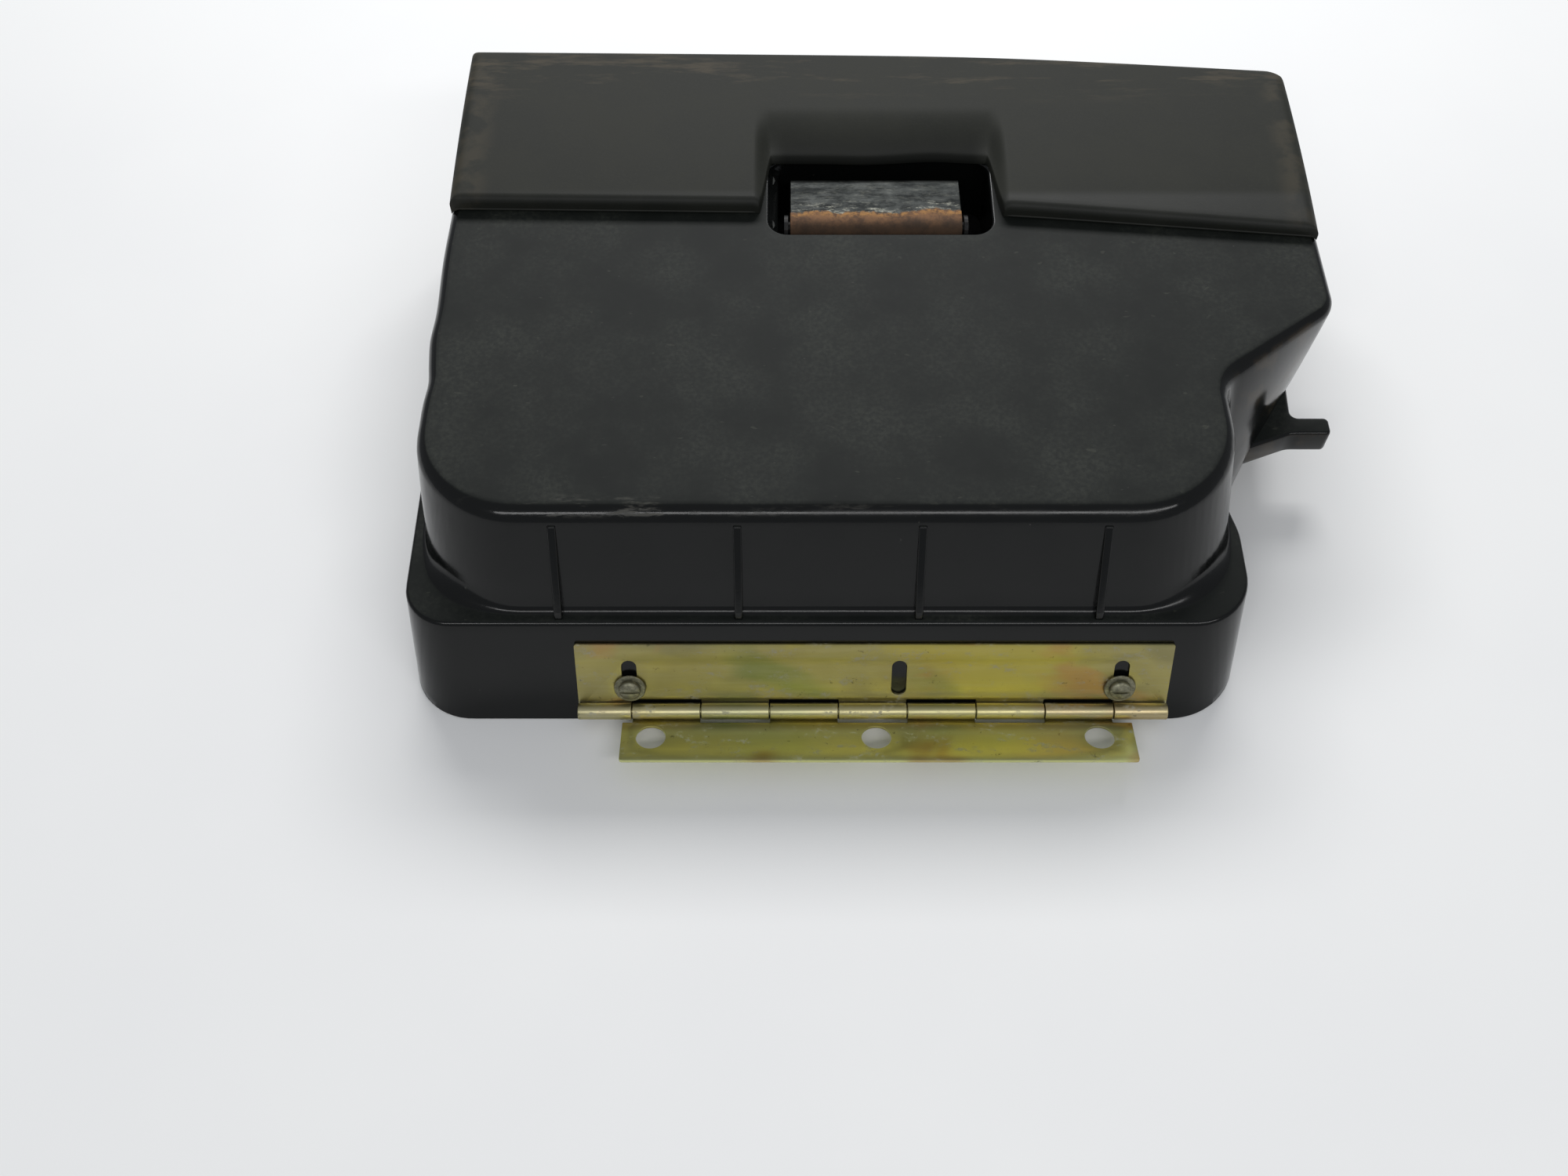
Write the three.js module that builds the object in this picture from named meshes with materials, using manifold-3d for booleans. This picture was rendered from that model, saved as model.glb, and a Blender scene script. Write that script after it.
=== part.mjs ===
// A tilt-out glove box: a deep moulded tub that lies rim down, with a cover strip along its far
// edge, a spring latch lever in a pocket and a piano hinge along its front edge.
// Millimetres, +Z up. X runs along the hinge and Y runs from the hinge to the latch.
import * as THREE from 'three';
import { mergeVertices } from 'three/addons/utils/BufferGeometryUtils.js';
import Module from 'manifold-3d';

const wasm = await Module();
wasm.setup();

// ---------------------------------------------------------------- driving dimensions

const degrees = Math.PI / 180;
const fit = 0.3; // gap between touching pieces

const wallTilt = 24 * degrees; // front walls lean back from vertical
const sideDraft = 0.035; // side walls lean in by this much per mm of height
const wall = 3;

const flangeHeight = 40.6;
const flangeHalfWidth = 156.6;
const flangeCorner = 26;
const flangeSideEnd = 95; // the flange runs out into the tub's right wall here
const flangeEdge = 1.2; // rounding of the flange's ridge

const tubHeight = 79.5;
const tubFrontAtFlange = 23.1; // where the upper front wall meets the flange ledge
const tubHalfWidth = 149.3;
const tubCorner = 41;
const topEdge = 4.6; // rounding of the tub's top edge
const wingRight = 194.8; // the tub is wider behind the stop arm
const leftBack = 271.5;
const backBendX = 72;
const rightBack = 258.5;

const ribSpacing = 65.3;
const ribThickness = 3;
const ribTop = 74;

const armFront = 112.1;
const armBack = 120.5;
const armTip = 202.4;
const armBottom = 19.7;
const armTop = 31;

const coverLeft = -148.8;
const coverRight = 193.2;
const coverCrown = 88;
const coverLip = 82.6; // height of the cover where it ends over the tub's face
const coverSkin = 2.5;
const coverSkirt = 66; // lowest edge of the cover, behind the tub
const coverRoll = 5; // rounding of the cover's ends
const lipRoll = 3;
const backRoll = 6;
const recess = { left: -23.6, right: 68.4, slot: 212.3, start: 237 };
const notchFlare = 2.6; // the notch's sides swing this far out on their way to the lip

const pocket = { left: -18.7, right: 66.4, front: 173.9, back: 215, corner: 6, bottom: 50 };
const pocketWall = 2.5;
const bossRadius = 4;
const bracketBosses = [-23.8, 71.5].flatMap((x) => [181, 206].map((y) => [x, y]));

const steel = 1.5;
const leverLeft = -13.7;
const leverRight = 54.8;
const leverPivot = { y: 184.2, z: 72 };
const rollRadius = 5.6;
const leverBack = 207;
const leverDrop = 1.5; // the plate falls towards its rear edge
const pivotPinRadius = 2.5;
const bushLength = 9;
const springWire = 0.45;
const springRadius = 3.2;
const springTurns = 6;
const springMiddle = 2.5;
const hook = { left: 8, right: 34, back: 191.5, bottom: 38, beak: 9, foot: 11 };

const knucklePitch = 25.6;
const endKnuckle = 20.3;
const knuckleRadius = 3.15;
const hingePinRadius = 1.5;
const hingeLeft = -93.1;
const leafThickness = 1.2;
const leafGap = 0.1;
const hingeHeight = 6.75; // pin height along the sloped wall
const upperLeafTop = 35.9;
const lowerLeafReach = 22.6;
const lowerLeafAngle = 165 * degrees;
const lowerLeafLeft = -76.4;
const lowerLeafRight = 113.3;
const slots = [-73.3, 26.3, 108.2];
const screwSlots = [slots[0], slots[2]]; // the middle slot is empty
const slotWidth = 5.5;
const slotRange = [12.9, 28.5];
const screwHeight = 16.4; // screw centres along the sloped wall
const mountingHoles = [-65.4, 17.9, 100.3];
const mountingHoleRadius = 5.5;
const mountingHoleReach = 11.2;

const screwShank = 2;
const screwHead = 4;
const screwClearance = 0.4;

// ---------------------------------------------------------------- materials

const material = (name, color, roughness, metalness) =>
  new THREE.MeshStandardMaterial({ name, color, roughness, metalness });

const blackPlastic = material('black_plastic', 0x1e2020, 0.32, 0);
const coverPlastic = material('cover_plastic', 0x242522, 0.5, 0);
const yellowZinc = material('yellow_zinc', 0x9a8b45, 0.35, 0.9);
const latchSteel = material('latch_steel', 0x8d8578, 0.45, 0.9);
const darkSteel = material('dark_steel', 0x2f3032, 0.5, 0.9);
const screwSteel = material('screw_steel', 0x77735f, 0.45, 0.9);
const springSteel = material('spring_steel', 0x6c6e70, 0.3, 1);
const nylon = material('nylon', 0xd8d5c8, 0.5, 0);

// ---------------------------------------------------------------- solids and booleans

function solid(geometry) {
  const bare = geometry.clone();
  bare.deleteAttribute('normal');
  bare.deleteAttribute('uv');
  const merged = mergeVertices(bare, 1e-4);
  const vertProperties = new Float32Array(merged.attributes.position.array);
  const triVerts = new Uint32Array(merged.index.array);
  return new wasm.Manifold(new wasm.Mesh({ numProp: 3, vertProperties, triVerts }));
}

function geometryOf(body) {
  const mesh = body.getMesh();
  const geometry = new THREE.BufferGeometry();
  geometry.setAttribute('position', new THREE.BufferAttribute(mesh.vertProperties, 3));
  geometry.setIndex(new THREE.BufferAttribute(mesh.triVerts, 1));
  geometry.computeVertexNormals();
  return geometry;
}

function join(...geometries) {
  return geometries.map(solid).reduce((whole, next) => whole.add(next));
}

function cut(body, ...geometries) {
  return geometries.map(solid).reduce((whole, next) => whole.subtract(next), body);
}

// ---------------------------------------------------------------- outlines

const corner = (x, y, radius) => ({ x, y, radius });

const steps = (count) => Array.from({ length: count + 1 }, (_, i) => i / count);

// Rounds each corner of a polygon that runs anticlockwise. Every corner gives the same number of
// points, so outlines at different heights join up one to one.
function roundedOutline(corners, pointsPerCorner = 8) {
  const points = [];
  corners.forEach((here, i) => {
    const before = corners.at(i - 1);
    const after = corners[(i + 1) % corners.length];
    const towardsBefore = new THREE.Vector2(before.x - here.x, before.y - here.y).normalize();
    const towardsAfter = new THREE.Vector2(after.x - here.x, after.y - here.y).normalize();
    const halfAngle = Math.acos(THREE.MathUtils.clamp(towardsBefore.dot(towardsAfter), -1, 1)) / 2;
    const reach = Math.max(here.radius, 0.01) / Math.tan(halfAngle);
    const vertex = new THREE.Vector2(here.x, here.y);
    const start = vertex.clone().addScaledVector(towardsBefore, reach);
    const end = vertex.clone().addScaledVector(towardsAfter, reach);
    const middle = towardsBefore.clone().add(towardsAfter).normalize();
    const centre = vertex.clone().addScaledVector(middle, reach / Math.cos(halfAngle));
    const from = start.clone().sub(centre).angle();
    let sweep = end.clone().sub(centre).angle() - from;
    if (sweep > Math.PI) sweep -= 2 * Math.PI;
    if (sweep < -Math.PI) sweep += 2 * Math.PI;
    const radius = start.distanceTo(centre);
    for (const t of steps(pointsPerCorner - 1)) {
      const angle = from + sweep * t;
      const arm = new THREE.Vector2(radius * Math.cos(angle), radius * Math.sin(angle));
      points.push(arm.add(centre));
    }
  });
  return points;
}

// Moves every side of an anticlockwise polygon inwards. Outer corners get tighter by the same
// distance and inner corners get wider.
function inset(corners, distance) {
  const moved = corners.map((here, i) => {
    const after = corners[(i + 1) % corners.length];
    const along = new THREE.Vector2(after.x - here.x, after.y - here.y).normalize();
    const inward = new THREE.Vector2(-along.y, along.x);
    return { x: here.x + inward.x * distance, y: here.y + inward.y * distance, along };
  });
  return corners.map((here, i) => {
    const side = moved[i];
    const previous = moved.at(i - 1);
    const turn = previous.along.cross(side.along);
    const gap = new THREE.Vector2(side.x - previous.x, side.y - previous.y);
    const reach = gap.cross(side.along) / turn;
    const radius = Math.max(0.1, here.radius - Math.sign(turn) * distance);
    return corner(previous.x + previous.along.x * reach, previous.y + previous.along.y * reach, radius);
  });
}

// A closed skin through outlines that have the same number of points, stacked from low to high.
function loft(rings) {
  const count = rings[0].points.length;
  const positions = rings.flatMap(({ z, points }) => points.flatMap((p) => [p.x, p.y, z]));
  const index = [];
  for (let level = 0; level < rings.length - 1; level += 1) {
    for (let i = 0; i < count; i += 1) {
      const a = level * count + i;
      const b = level * count + ((i + 1) % count);
      index.push(a, b, b + count, a, b + count, a + count);
    }
  }
  const top = rings.length - 1;
  for (const [a, b, c] of THREE.ShapeUtils.triangulateShape(rings[0].points, [])) index.push(a, c, b);
  for (const [a, b, c] of THREE.ShapeUtils.triangulateShape(rings[top].points, [])) {
    index.push(top * count + a, top * count + b, top * count + c);
  }
  const geometry = new THREE.BufferGeometry();
  geometry.setAttribute('position', new THREE.Float32BufferAttribute(positions, 3));
  geometry.setIndex(index);
  return geometry;
}

// A moulded block whose plan changes with height, with a bend at the stop arm's top, and whose own
// top edge is rounded.
function mouldedBlock({ cornersAt, bottom, top, edge, offset = 0 }) {
  const ringAt = (z, inwards) => ({ z, points: roundedOutline(inset(cornersAt(z), inwards)) });
  const upper = steps(3).map((t) => THREE.MathUtils.lerp(armTop, top - edge, t));
  const rings = [bottom, ...upper].map((z) => ringAt(z, offset));
  for (const t of steps(5).slice(1)) {
    const angle = (t * Math.PI) / 2;
    rings.push(ringAt(top - edge * (1 - Math.sin(angle)), offset + edge * (1 - Math.cos(angle))));
  }
  return loft(rings);
}

// An outline in the YZ plane, extruded along X from one side to the other.
function extrudeAlongX(points, left, right) {
  const shape = new THREE.Shape(points.map(([y, z]) => new THREE.Vector2(y, z)));
  const geometry = new THREE.ExtrudeGeometry(shape, { depth: right - left, bevelEnabled: false });
  geometry.rotateY(Math.PI / 2);
  geometry.rotateX(Math.PI / 2);
  geometry.translate(left, 0, 0);
  return geometry;
}

// A flat outline in the XY plane, extruded upwards.
function extrudeUp(points, bottom, top) {
  const shape = new THREE.Shape(points);
  const geometry = new THREE.ExtrudeGeometry(shape, { depth: top - bottom, bevelEnabled: false });
  geometry.translate(0, 0, bottom);
  return geometry;
}

function rodAlongX(radius, left, right, y = 0, z = 0, sides = 24) {
  const geometry = new THREE.CylinderGeometry(radius, radius, right - left, sides);
  geometry.rotateZ(-Math.PI / 2);
  geometry.translate((left + right) / 2, y, z);
  return geometry;
}

function rodUp(radius, x, y, bottom, top, sides = 20) {
  const geometry = new THREE.CylinderGeometry(radius, radius, top - bottom, sides);
  geometry.rotateX(Math.PI / 2);
  geometry.translate(x, y, (bottom + top) / 2);
  return geometry;
}

function boxBetween(low, high) {
  const size = high.map((value, i) => value - low[i]);
  const geometry = new THREE.BoxGeometry(...size);
  geometry.translate(...low.map((value, i) => value + size[i] / 2));
  return geometry;
}

const rectangle = (left, right, front, back, radius) => [
  corner(left, front, radius),
  corner(right, front, radius),
  corner(right, back, radius),
  corner(left, back, radius),
];

// ---------------------------------------------------------------- tub

const slope = Math.tan(wallTilt);

// The back wall leans in towards the rim, so that the box can swing past the edge it closes against.
const backLean = (z) => 0.12 * (tubHeight - z);

function flangeCornersAt(z) {
  const half = flangeHalfWidth - sideDraft * z;
  const radius = flangeCorner - 0.15 * z;
  const back = leftBack - 4 - backLean(z);
  return [
    corner(-half, slope * z, radius - 3),
    corner(half - 0.2, slope * z, radius + 2),
    corner(half - 0.2, flangeSideEnd - 37, 30),
    corner(half - 9, flangeSideEnd, 20),
    corner(half - 30, back - 20, 8),
    corner(-half, back, 8),
  ];
}

// The wing's slanted wall runs from an inner corner to an outer one. Both move with height above the
// stop arm's top, and the wall swings in towards the rim below it.
function tubCornersAt(z) {
  const lift = THREE.MathUtils.clamp((z - armTop) / (tubHeight - armTop), 0, 1);
  const drop = Math.max(0, (armTop - z) / armTop);
  const half = tubHalfWidth - sideDraft * (z - flangeHeight);
  const front = tubFrontAtFlange + slope * (z - flangeHeight);
  const innerCorner = new THREE.Vector2(152, 79).lerp(new THREE.Vector2(146.8, 101.5), lift);
  const outerCorner = new THREE.Vector2(191.6, 140.5).lerp(new THREE.Vector2(wingRight, 135.5), lift);
  return [
    corner(-half - 1, front, tubCorner - 3),
    corner(half, front, tubCorner),
    corner(innerCorner.x + 3 * drop, innerCorner.y, 16),
    corner(outerCorner.x - 8 * drop, outerCorner.y, 13),
    corner(wingRight - 1.4, rightBack - backLean(z), 8),
    corner(backBendX, leftBack - 1.8 - backLean(z), 60),
    corner(-half - 1, leftBack - backLean(z), 8),
  ];
}

const tubBlock = (offset, bottom, top) =>
  mouldedBlock({ cornersAt: tubCornersAt, bottom, top, edge: Math.max(0.8, topEdge - offset), offset });

const flangeBlock = (offset, bottom, top, edge) =>
  mouldedBlock({ cornersAt: flangeCornersAt, bottom, top, edge, offset });

function ribAt(x) {
  const ribOutline = [
    [slope * flangeHeight + 1, flangeHeight - 1],
    [tubFrontAtFlange + wall, flangeHeight - 1],
    [tubFrontAtFlange + wall + slope * (ribTop - flangeHeight), ribTop],
    [tubFrontAtFlange + slope * (ribTop - flangeHeight) - 0.5, ribTop],
  ];
  return extrudeAlongX(ribOutline, x - ribThickness / 2, x + ribThickness / 2);
}

function stopArm() {
  const plan = roundedOutline([
    corner(168, 104.7, 4),
    corner(armTip - 16, armFront, 6),
    corner(armTip, armFront, 2.2),
    corner(armTip, armBack, 2.2),
    corner(armTip - 15, armBack, 2),
    corner(188.4, 137, 1),
    corner(178, 137, 1),
    corner(156, 99, 1),
  ], 4);
  return extrudeUp(plan, armBottom, armTop);
}

function pocketShaft(offset, bottom, top) {
  const { left, right, front, back, corner: radius } = pocket;
  return extrudeUp(roundedOutline(inset(rectangle(left, right, front, back, radius), offset)), bottom, top);
}

// Lies along the wall's outward normal at a point on the sloped front wall.
function onFrontWall(geometry) {
  return geometry.rotateX(Math.PI / 2 - wallTilt);
}

const coverScrews = [
  [-128, 208],
  [-128, 252],
  [-48, 250],
  [98, 248],
  [172, 196],
  [172, 240],
];

function buildTub() {
  const ribs = [-1.5, -0.5, 0.5, 1.5].map((i) => ribAt(i * ribSpacing));
  const flange = flangeBlock(0, 0, flangeHeight, flangeEdge);
  const shell = join(tubBlock(0, 0, tubHeight), flange, stopArm(), ...ribs);
  const hollow = cut(
    shell,
    tubBlock(wall, -1, tubHeight - wall),
    flangeBlock(wall, -1, flangeHeight - wall, 1),
  );
  const underFace = tubHeight - wall / 2;
  const bosses = bracketBosses.map(([x, y]) => rodUp(bossRadius, x, y, pocket.bottom, underFace));
  const withPocket = hollow.add(join(pocketShaft(-pocketWall, pocket.bottom, underFace), ...bosses));
  return cut(
    withPocket,
    pocketShaft(0, pocket.bottom - 1, tubHeight + 1),
    ...bracketBosses.map(([x, y]) => rodUp(1.6, x, y, pocket.bottom - 1, pocket.bottom + 11)),
    ...coverScrews.map(([x, y]) => rodUp(2.1, x, y, tubHeight - wall - 1, tubHeight + 1)),
    ...screwSlots.map((x) => onFrontWall(rodUp(screwShank + screwClearance, x, screwHeight, -8, 1))),
  );
}

// ---------------------------------------------------------------- top cover

// Rises smoothly from 0 to 1 between two values, which may run either way.
function smooth(value, from, to) {
  const t = THREE.MathUtils.clamp((value - from) / (to - from), 0, 1);
  return t * t * (3 - 2 * t);
}

// Both long edges of the cover swing towards the hinge over its right third.
function swing(x, blend) {
  const past = x - backBendX;
  return (past + Math.hypot(past, blend)) / 2;
}

function coverFront(x, offset) {
  const lip = 184.2 - 0.0155 * x - 0.083 * swing(x, 10);
  const { left, right, slot } = recess;
  const leftSide = smooth(x, left - offset - notchFlare, left - offset + notchFlare);
  const rightSide = smooth(x, right + offset + notchFlare, right + offset - notchFlare);
  return THREE.MathUtils.lerp(lip, slot, leftSide * rightSide) + offset;
}

function coverBack(x, offset) {
  return 274.4 - 0.012 * x - 0.075 * swing(x, 40) - offset;
}

function coverHeight(x, y) {
  const across = (y - 185) / 85;
  const crown = coverCrown - 5.2 * (across - 0.6) ** 2;
  const leftSide = smooth(x, recess.left - 2 * notchFlare, recess.left + notchFlare);
  const rightSide = smooth(x, recess.right + 2 * notchFlare, recess.right - notchFlare);
  const depth = leftSide * rightSide * smooth(y, recess.start, recess.slot + 2);
  return THREE.MathUtils.lerp(crown, coverLip, depth);
}

// How far a rounded edge has fallen at some distance in from it.
function rollOff(distance, radius) {
  const inside = Math.min(distance, radius);
  return radius - Math.sqrt(radius ** 2 - (radius - inside) ** 2);
}

// A closed height field over columns of points that share one flat floor.
function gridSolid(columns, floor) {
  const columnCount = columns.length;
  const rowCount = columns[0].length;
  const top = columns.flat(2);
  const half = columnCount * rowCount;
  const positions = [...top];
  for (let i = 0; i < half; i += 1) positions.push(top[3 * i], top[3 * i + 1], floor);
  const at = (column, row) => column * rowCount + row;
  const index = [];
  const quad = (a, b, c, d) => index.push(a, b, c, a, c, d);
  const side = (a, b) => quad(a, half + a, half + b, b);
  for (let c = 0; c < columnCount - 1; c += 1) {
    for (let r = 0; r < rowCount - 1; r += 1) {
      quad(at(c, r), at(c + 1, r), at(c + 1, r + 1), at(c, r + 1));
      quad(half + at(c, r), half + at(c, r + 1), half + at(c + 1, r + 1), half + at(c + 1, r));
    }
    side(at(c, 0), at(c + 1, 0));
    side(at(c + 1, rowCount - 1), at(c, rowCount - 1));
  }
  for (let r = 0; r < rowCount - 1; r += 1) {
    side(at(0, r + 1), at(0, r));
    side(at(columnCount - 1, r), at(columnCount - 1, r + 1));
  }
  const geometry = new THREE.BufferGeometry();
  geometry.setAttribute('position', new THREE.Float32BufferAttribute(positions, 3));
  geometry.setIndex(index);
  return geometry;
}

// The cover's outer form, or with an offset the form of its hollow.
function coverBody(offset, bottom) {
  const left = coverLeft + offset;
  const right = coverRight - offset;
  const notchSides = [recess.left - offset, recess.right + offset];
  const columnPlaces = [
    ...[0, 0.4, 1.3, 2.6, coverRoll].flatMap((d) => [left + d, right - d]),
    ...steps(16).slice(1, -1).map((t) => THREE.MathUtils.lerp(left + coverRoll, right - coverRoll, t)),
    ...notchSides.flatMap((x) => [-2, -1, -0.5, 0, 0.5, 1, 2].map((d) => x + d * notchFlare + 0.07)),
  ].sort((a, b) => a - b);
  const frontPlaces = [0, 0.4, 1.2, 2.4, 4];
  const backPlaces = [backRoll, 4.6, 3.1, 1.4, 0.5, 0];
  const columns = columnPlaces.map((x) => {
    const front = coverFront(x, offset);
    const back = coverBack(x, offset);
    const middle = steps(9).slice(1, -1).map((t) => THREE.MathUtils.lerp(front + 4, back - backRoll, t));
    const ys = [...frontPlaces.map((d) => front + d), ...middle, ...backPlaces.map((d) => back - d)];
    return ys.map((y) => {
      const fall = Math.max(
        rollOff(Math.min(x - left, right - x), Math.max(0.5, coverRoll - offset)) * 0.8,
        rollOff(y - front, Math.max(0.5, lipRoll - offset)),
        rollOff(back - y, Math.max(1, backRoll - offset)),
      );
      return [x, y, coverHeight(x, y) - offset - fall];
    });
  });
  return gridSolid(columns, bottom);
}

function buildTopCover() {
  const underTop = (x, y) => coverHeight(x, y) - coverSkin / 2;
  const boss = ([x, y]) => rodUp(bossRadius - 0.5, x, y, tubHeight + fit, underTop(x, y));
  const shell = cut(solid(coverBody(0, coverSkirt)), coverBody(coverSkin, coverSkirt - 1));
  const bossed = shell.add(join(...coverScrews.map(boss)));
  return cut(
    bossed,
    tubBlock(-fit, 0, tubHeight + fit),
    ...coverScrews.map(([x, y]) => rodUp(1.45, x, y, tubHeight, tubHeight + 4)),
  );
}

// ---------------------------------------------------------------- screws, washers and nuts

// A domed head above z = 0 with its shank below.
function panScrew(length, shank = screwShank, head = screwHead) {
  const headHeight = head * 0.6;
  const rimHeight = headHeight * 0.4;
  const rise = headHeight - rimHeight;
  const dome = steps(4).map((t) => {
    const angle = (t * Math.PI) / 2;
    return new THREE.Vector2(head * Math.cos(angle), rimHeight + rise * Math.sin(angle));
  });
  const profile = [
    new THREE.Vector2(0, -length),
    new THREE.Vector2(shank * 0.7, -length),
    new THREE.Vector2(shank, -length + 1),
    new THREE.Vector2(shank, 0),
    new THREE.Vector2(head, 0),
    ...dome,
  ];
  const body = solid(new THREE.LatheGeometry(profile, 16).rotateX(Math.PI / 2));
  const slotCutter = boxBetween([-head - 1, -0.5, headHeight * 0.6], [head + 1, 0.5, headHeight + 1]);
  return geometryOf(cut(body, slotCutter));
}

// Segments in half a turn of a round outline.
const halfTurnSegments = 10;

// A flat piece with a round bore, standing on z = 0.
function bored(shape, bore, height) {
  shape.holes.push(new THREE.Path().absarc(0, 0, bore, 0, 2 * Math.PI, true));
  const settings = { depth: height, bevelEnabled: false, curveSegments: halfTurnSegments };
  return new THREE.ExtrudeGeometry(shape, settings);
}

function ring(inner, outer, height) {
  return bored(new THREE.Shape().absarc(0, 0, outer, 0, 2 * Math.PI), inner, height);
}

function hexNut(acrossFlats, bore, height) {
  const shape = new THREE.Shape(steps(6).slice(0, -1).map((t) => {
    const angle = t * 2 * Math.PI;
    const radius = acrossFlats / 2 / Math.cos(30 * degrees);
    return new THREE.Vector2(radius * Math.cos(angle), radius * Math.sin(angle));
  }));
  return bored(shape, bore, height);
}

// ---------------------------------------------------------------- piano hinge

// Knuckle ends along X: odd knuckles carry the upper leaf, even ones the lower leaf.
const knuckleEnds = [
  hingeLeft,
  ...steps(7).map((t) => hingeLeft + endKnuckle + t * 7 * knucklePitch),
  hingeLeft + 2 * endKnuckle + 7 * knucklePitch,
];
const knuckleSpans = knuckleEnds.slice(1).map((end, i) => [knuckleEnds[i] + 0.2, end - 0.2]);
const hingeRight = knuckleEnds.at(-1);
const upperSpans = knuckleSpans.filter((_, i) => i % 2 === 0);
const lowerSpans = knuckleSpans.filter((_, i) => i % 2 === 1);

// A leaf lies in the XY plane of its own frame with the pin along X through the origin. The leaf's
// outer face is level with the knuckles, and it is notched where the other leaf's knuckles turn.
function hingeLeaf({ left, right, reach, ownSpans, otherSpans, below, holes }) {
  const near = below ? -knuckleRadius : knuckleRadius - leafThickness;
  const sheet = boxBetween([left, 0, near], [right, reach, near + leafThickness]);
  const knuckles = ownSpans.map(([from, to]) => rodAlongX(knuckleRadius, from, to));
  const notches = otherSpans.map(([from, to]) =>
    boxBetween([from - 0.6, -1, -knuckleRadius - 1], [to + 0.6, knuckleRadius + 0.8, knuckleRadius + 1]));
  const edges = [[left - 1, ownSpans[0][0]], [ownSpans.at(-1)[1], right + 1]].map(([from, to]) =>
    boxBetween([from, -1, -knuckleRadius - 1], [to, knuckleRadius + 0.8, knuckleRadius + 1]));
  const bore = rodAlongX(hingePinRadius + 0.1, left - 30, right + 30);
  return cut(cut(solid(sheet), ...notches, ...edges).add(join(...knuckles)), bore, ...holes);
}

function slotHole(x) {
  const [low, high] = slotRange.map((height) => height - hingeHeight);
  const half = slotWidth / 2;
  const outline = roundedOutline(rectangle(x - half, x + half, low, high, half - 0.01));
  return extrudeUp(outline, -knuckleRadius - 1, knuckleRadius + 1);
}

function mountingHole(x) {
  return rodUp(mountingHoleRadius, x, mountingHoleReach, -knuckleRadius - 1, knuckleRadius + 1, 32);
}

// ---------------------------------------------------------------- latch

const arc = (centre, radius, from, to, count) => steps(count).map((t) => {
  const angle = (from + (to - from) * t) * degrees;
  return [centre.y + radius * Math.cos(angle), centre.z + radius * Math.sin(angle)];
});

// The pull plate: sheet steel rolled round at its front edge, falling slightly to the rear.
function latchLever() {
  const tangent = 90 - Math.atan2(leverDrop, leverBack - leverPivot.y) / degrees;
  const rollEnd = tangent + 330;
  const [tangentY, tangentZ] = arc(leverPivot, rollRadius, tangent, tangent, 1)[0];
  const fall = Math.tan((tangent - 90) * degrees);
  const rearZ = tangentZ + fall * (leverBack - tangentY);
  const outline = [
    ...arc(leverPivot, rollRadius - steel, rollEnd, tangent, 30),
    [leverBack, rearZ - steel],
    [leverBack + 0.6, rearZ - steel / 2],
    [leverBack, rearZ],
    ...arc(leverPivot, rollRadius, tangent, rollEnd, 30),
  ];
  const plate = solid(extrudeAlongX(outline.reverse(), leverLeft, leverRight));
  const springWindow = boxBetween(
    [springMiddle - 5, leverPivot.y - rollRadius + 1, leverPivot.z - rollRadius - 1],
    [springMiddle + 5, leverPivot.y + rollRadius - 0.5, leverPivot.z - 0.5],
  );
  return cut(plate, springWindow);
}

// The catch: a bent strip that hangs from the plate's underside with its beak towards the hinge.
function latchHook() {
  const { left, right, back, bottom, beak, foot } = hook;
  const fall = leverDrop / (leverBack - leverPivot.y);
  const seat = (y) => leverPivot.z + rollRadius - steel - fit - fall * (y - leverPivot.y);
  const outline = [
    [back - steel, bottom + 4],
    [back - beak, bottom + 4],
    [back - beak, bottom + 3],
    [back - steel - 1, bottom],
    [back, bottom],
    [back, seat(back) - steel - 1],
    [back + 1, seat(back) - steel],
    [back + foot, seat(back + foot) - steel],
    [back + foot, seat(back + foot)],
    [back + 0.3, seat(back)],
    [back - steel, seat(back) - steel],
  ];
  return extrudeAlongX(outline, left, right);
}

// A sheet steel tray under the pocket whose two ears hold the lever's pin.
function latchBracket() {
  const floorTop = pocket.bottom - fit;
  const [left, right] = [bracketBosses[0][0], bracketBosses.at(-1)[0]];
  const plan = rectangle(left - 4.8, right + 4.8, pocket.front - pocketWall, pocket.back + pocketWall, 4);
  const floor = extrudeUp(roundedOutline(plan), floorTop - steel, floorTop);
  const earOutline = [
    [leverPivot.y - 4, floorTop - 0.5],
    [leverPivot.y + 11, floorTop - 0.5],
    ...arc(leverPivot, 5, 0, 180, 10),
  ];
  const earPlaces = [leverLeft - 0.9 - steel, leverRight + 0.9];
  const ears = earPlaces.map((x) => extrudeAlongX(earOutline, x, x + steel));
  const hookRoom = [hook.right + 2, hook.back + 14, floorTop + 1];
  return cut(
    join(floor, ...ears),
    rodAlongX(pivotPinRadius + 0.1, leverLeft - 10, leverRight + 10, leverPivot.y, leverPivot.z),
    boxBetween([hook.left - 2, leverPivot.y - 6, floorTop - 4], hookRoom),
    ...bracketBosses.map(([x, y]) => rodUp(1.7, x, y, floorTop - 4, floorTop + 1)),
  );
}

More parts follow.
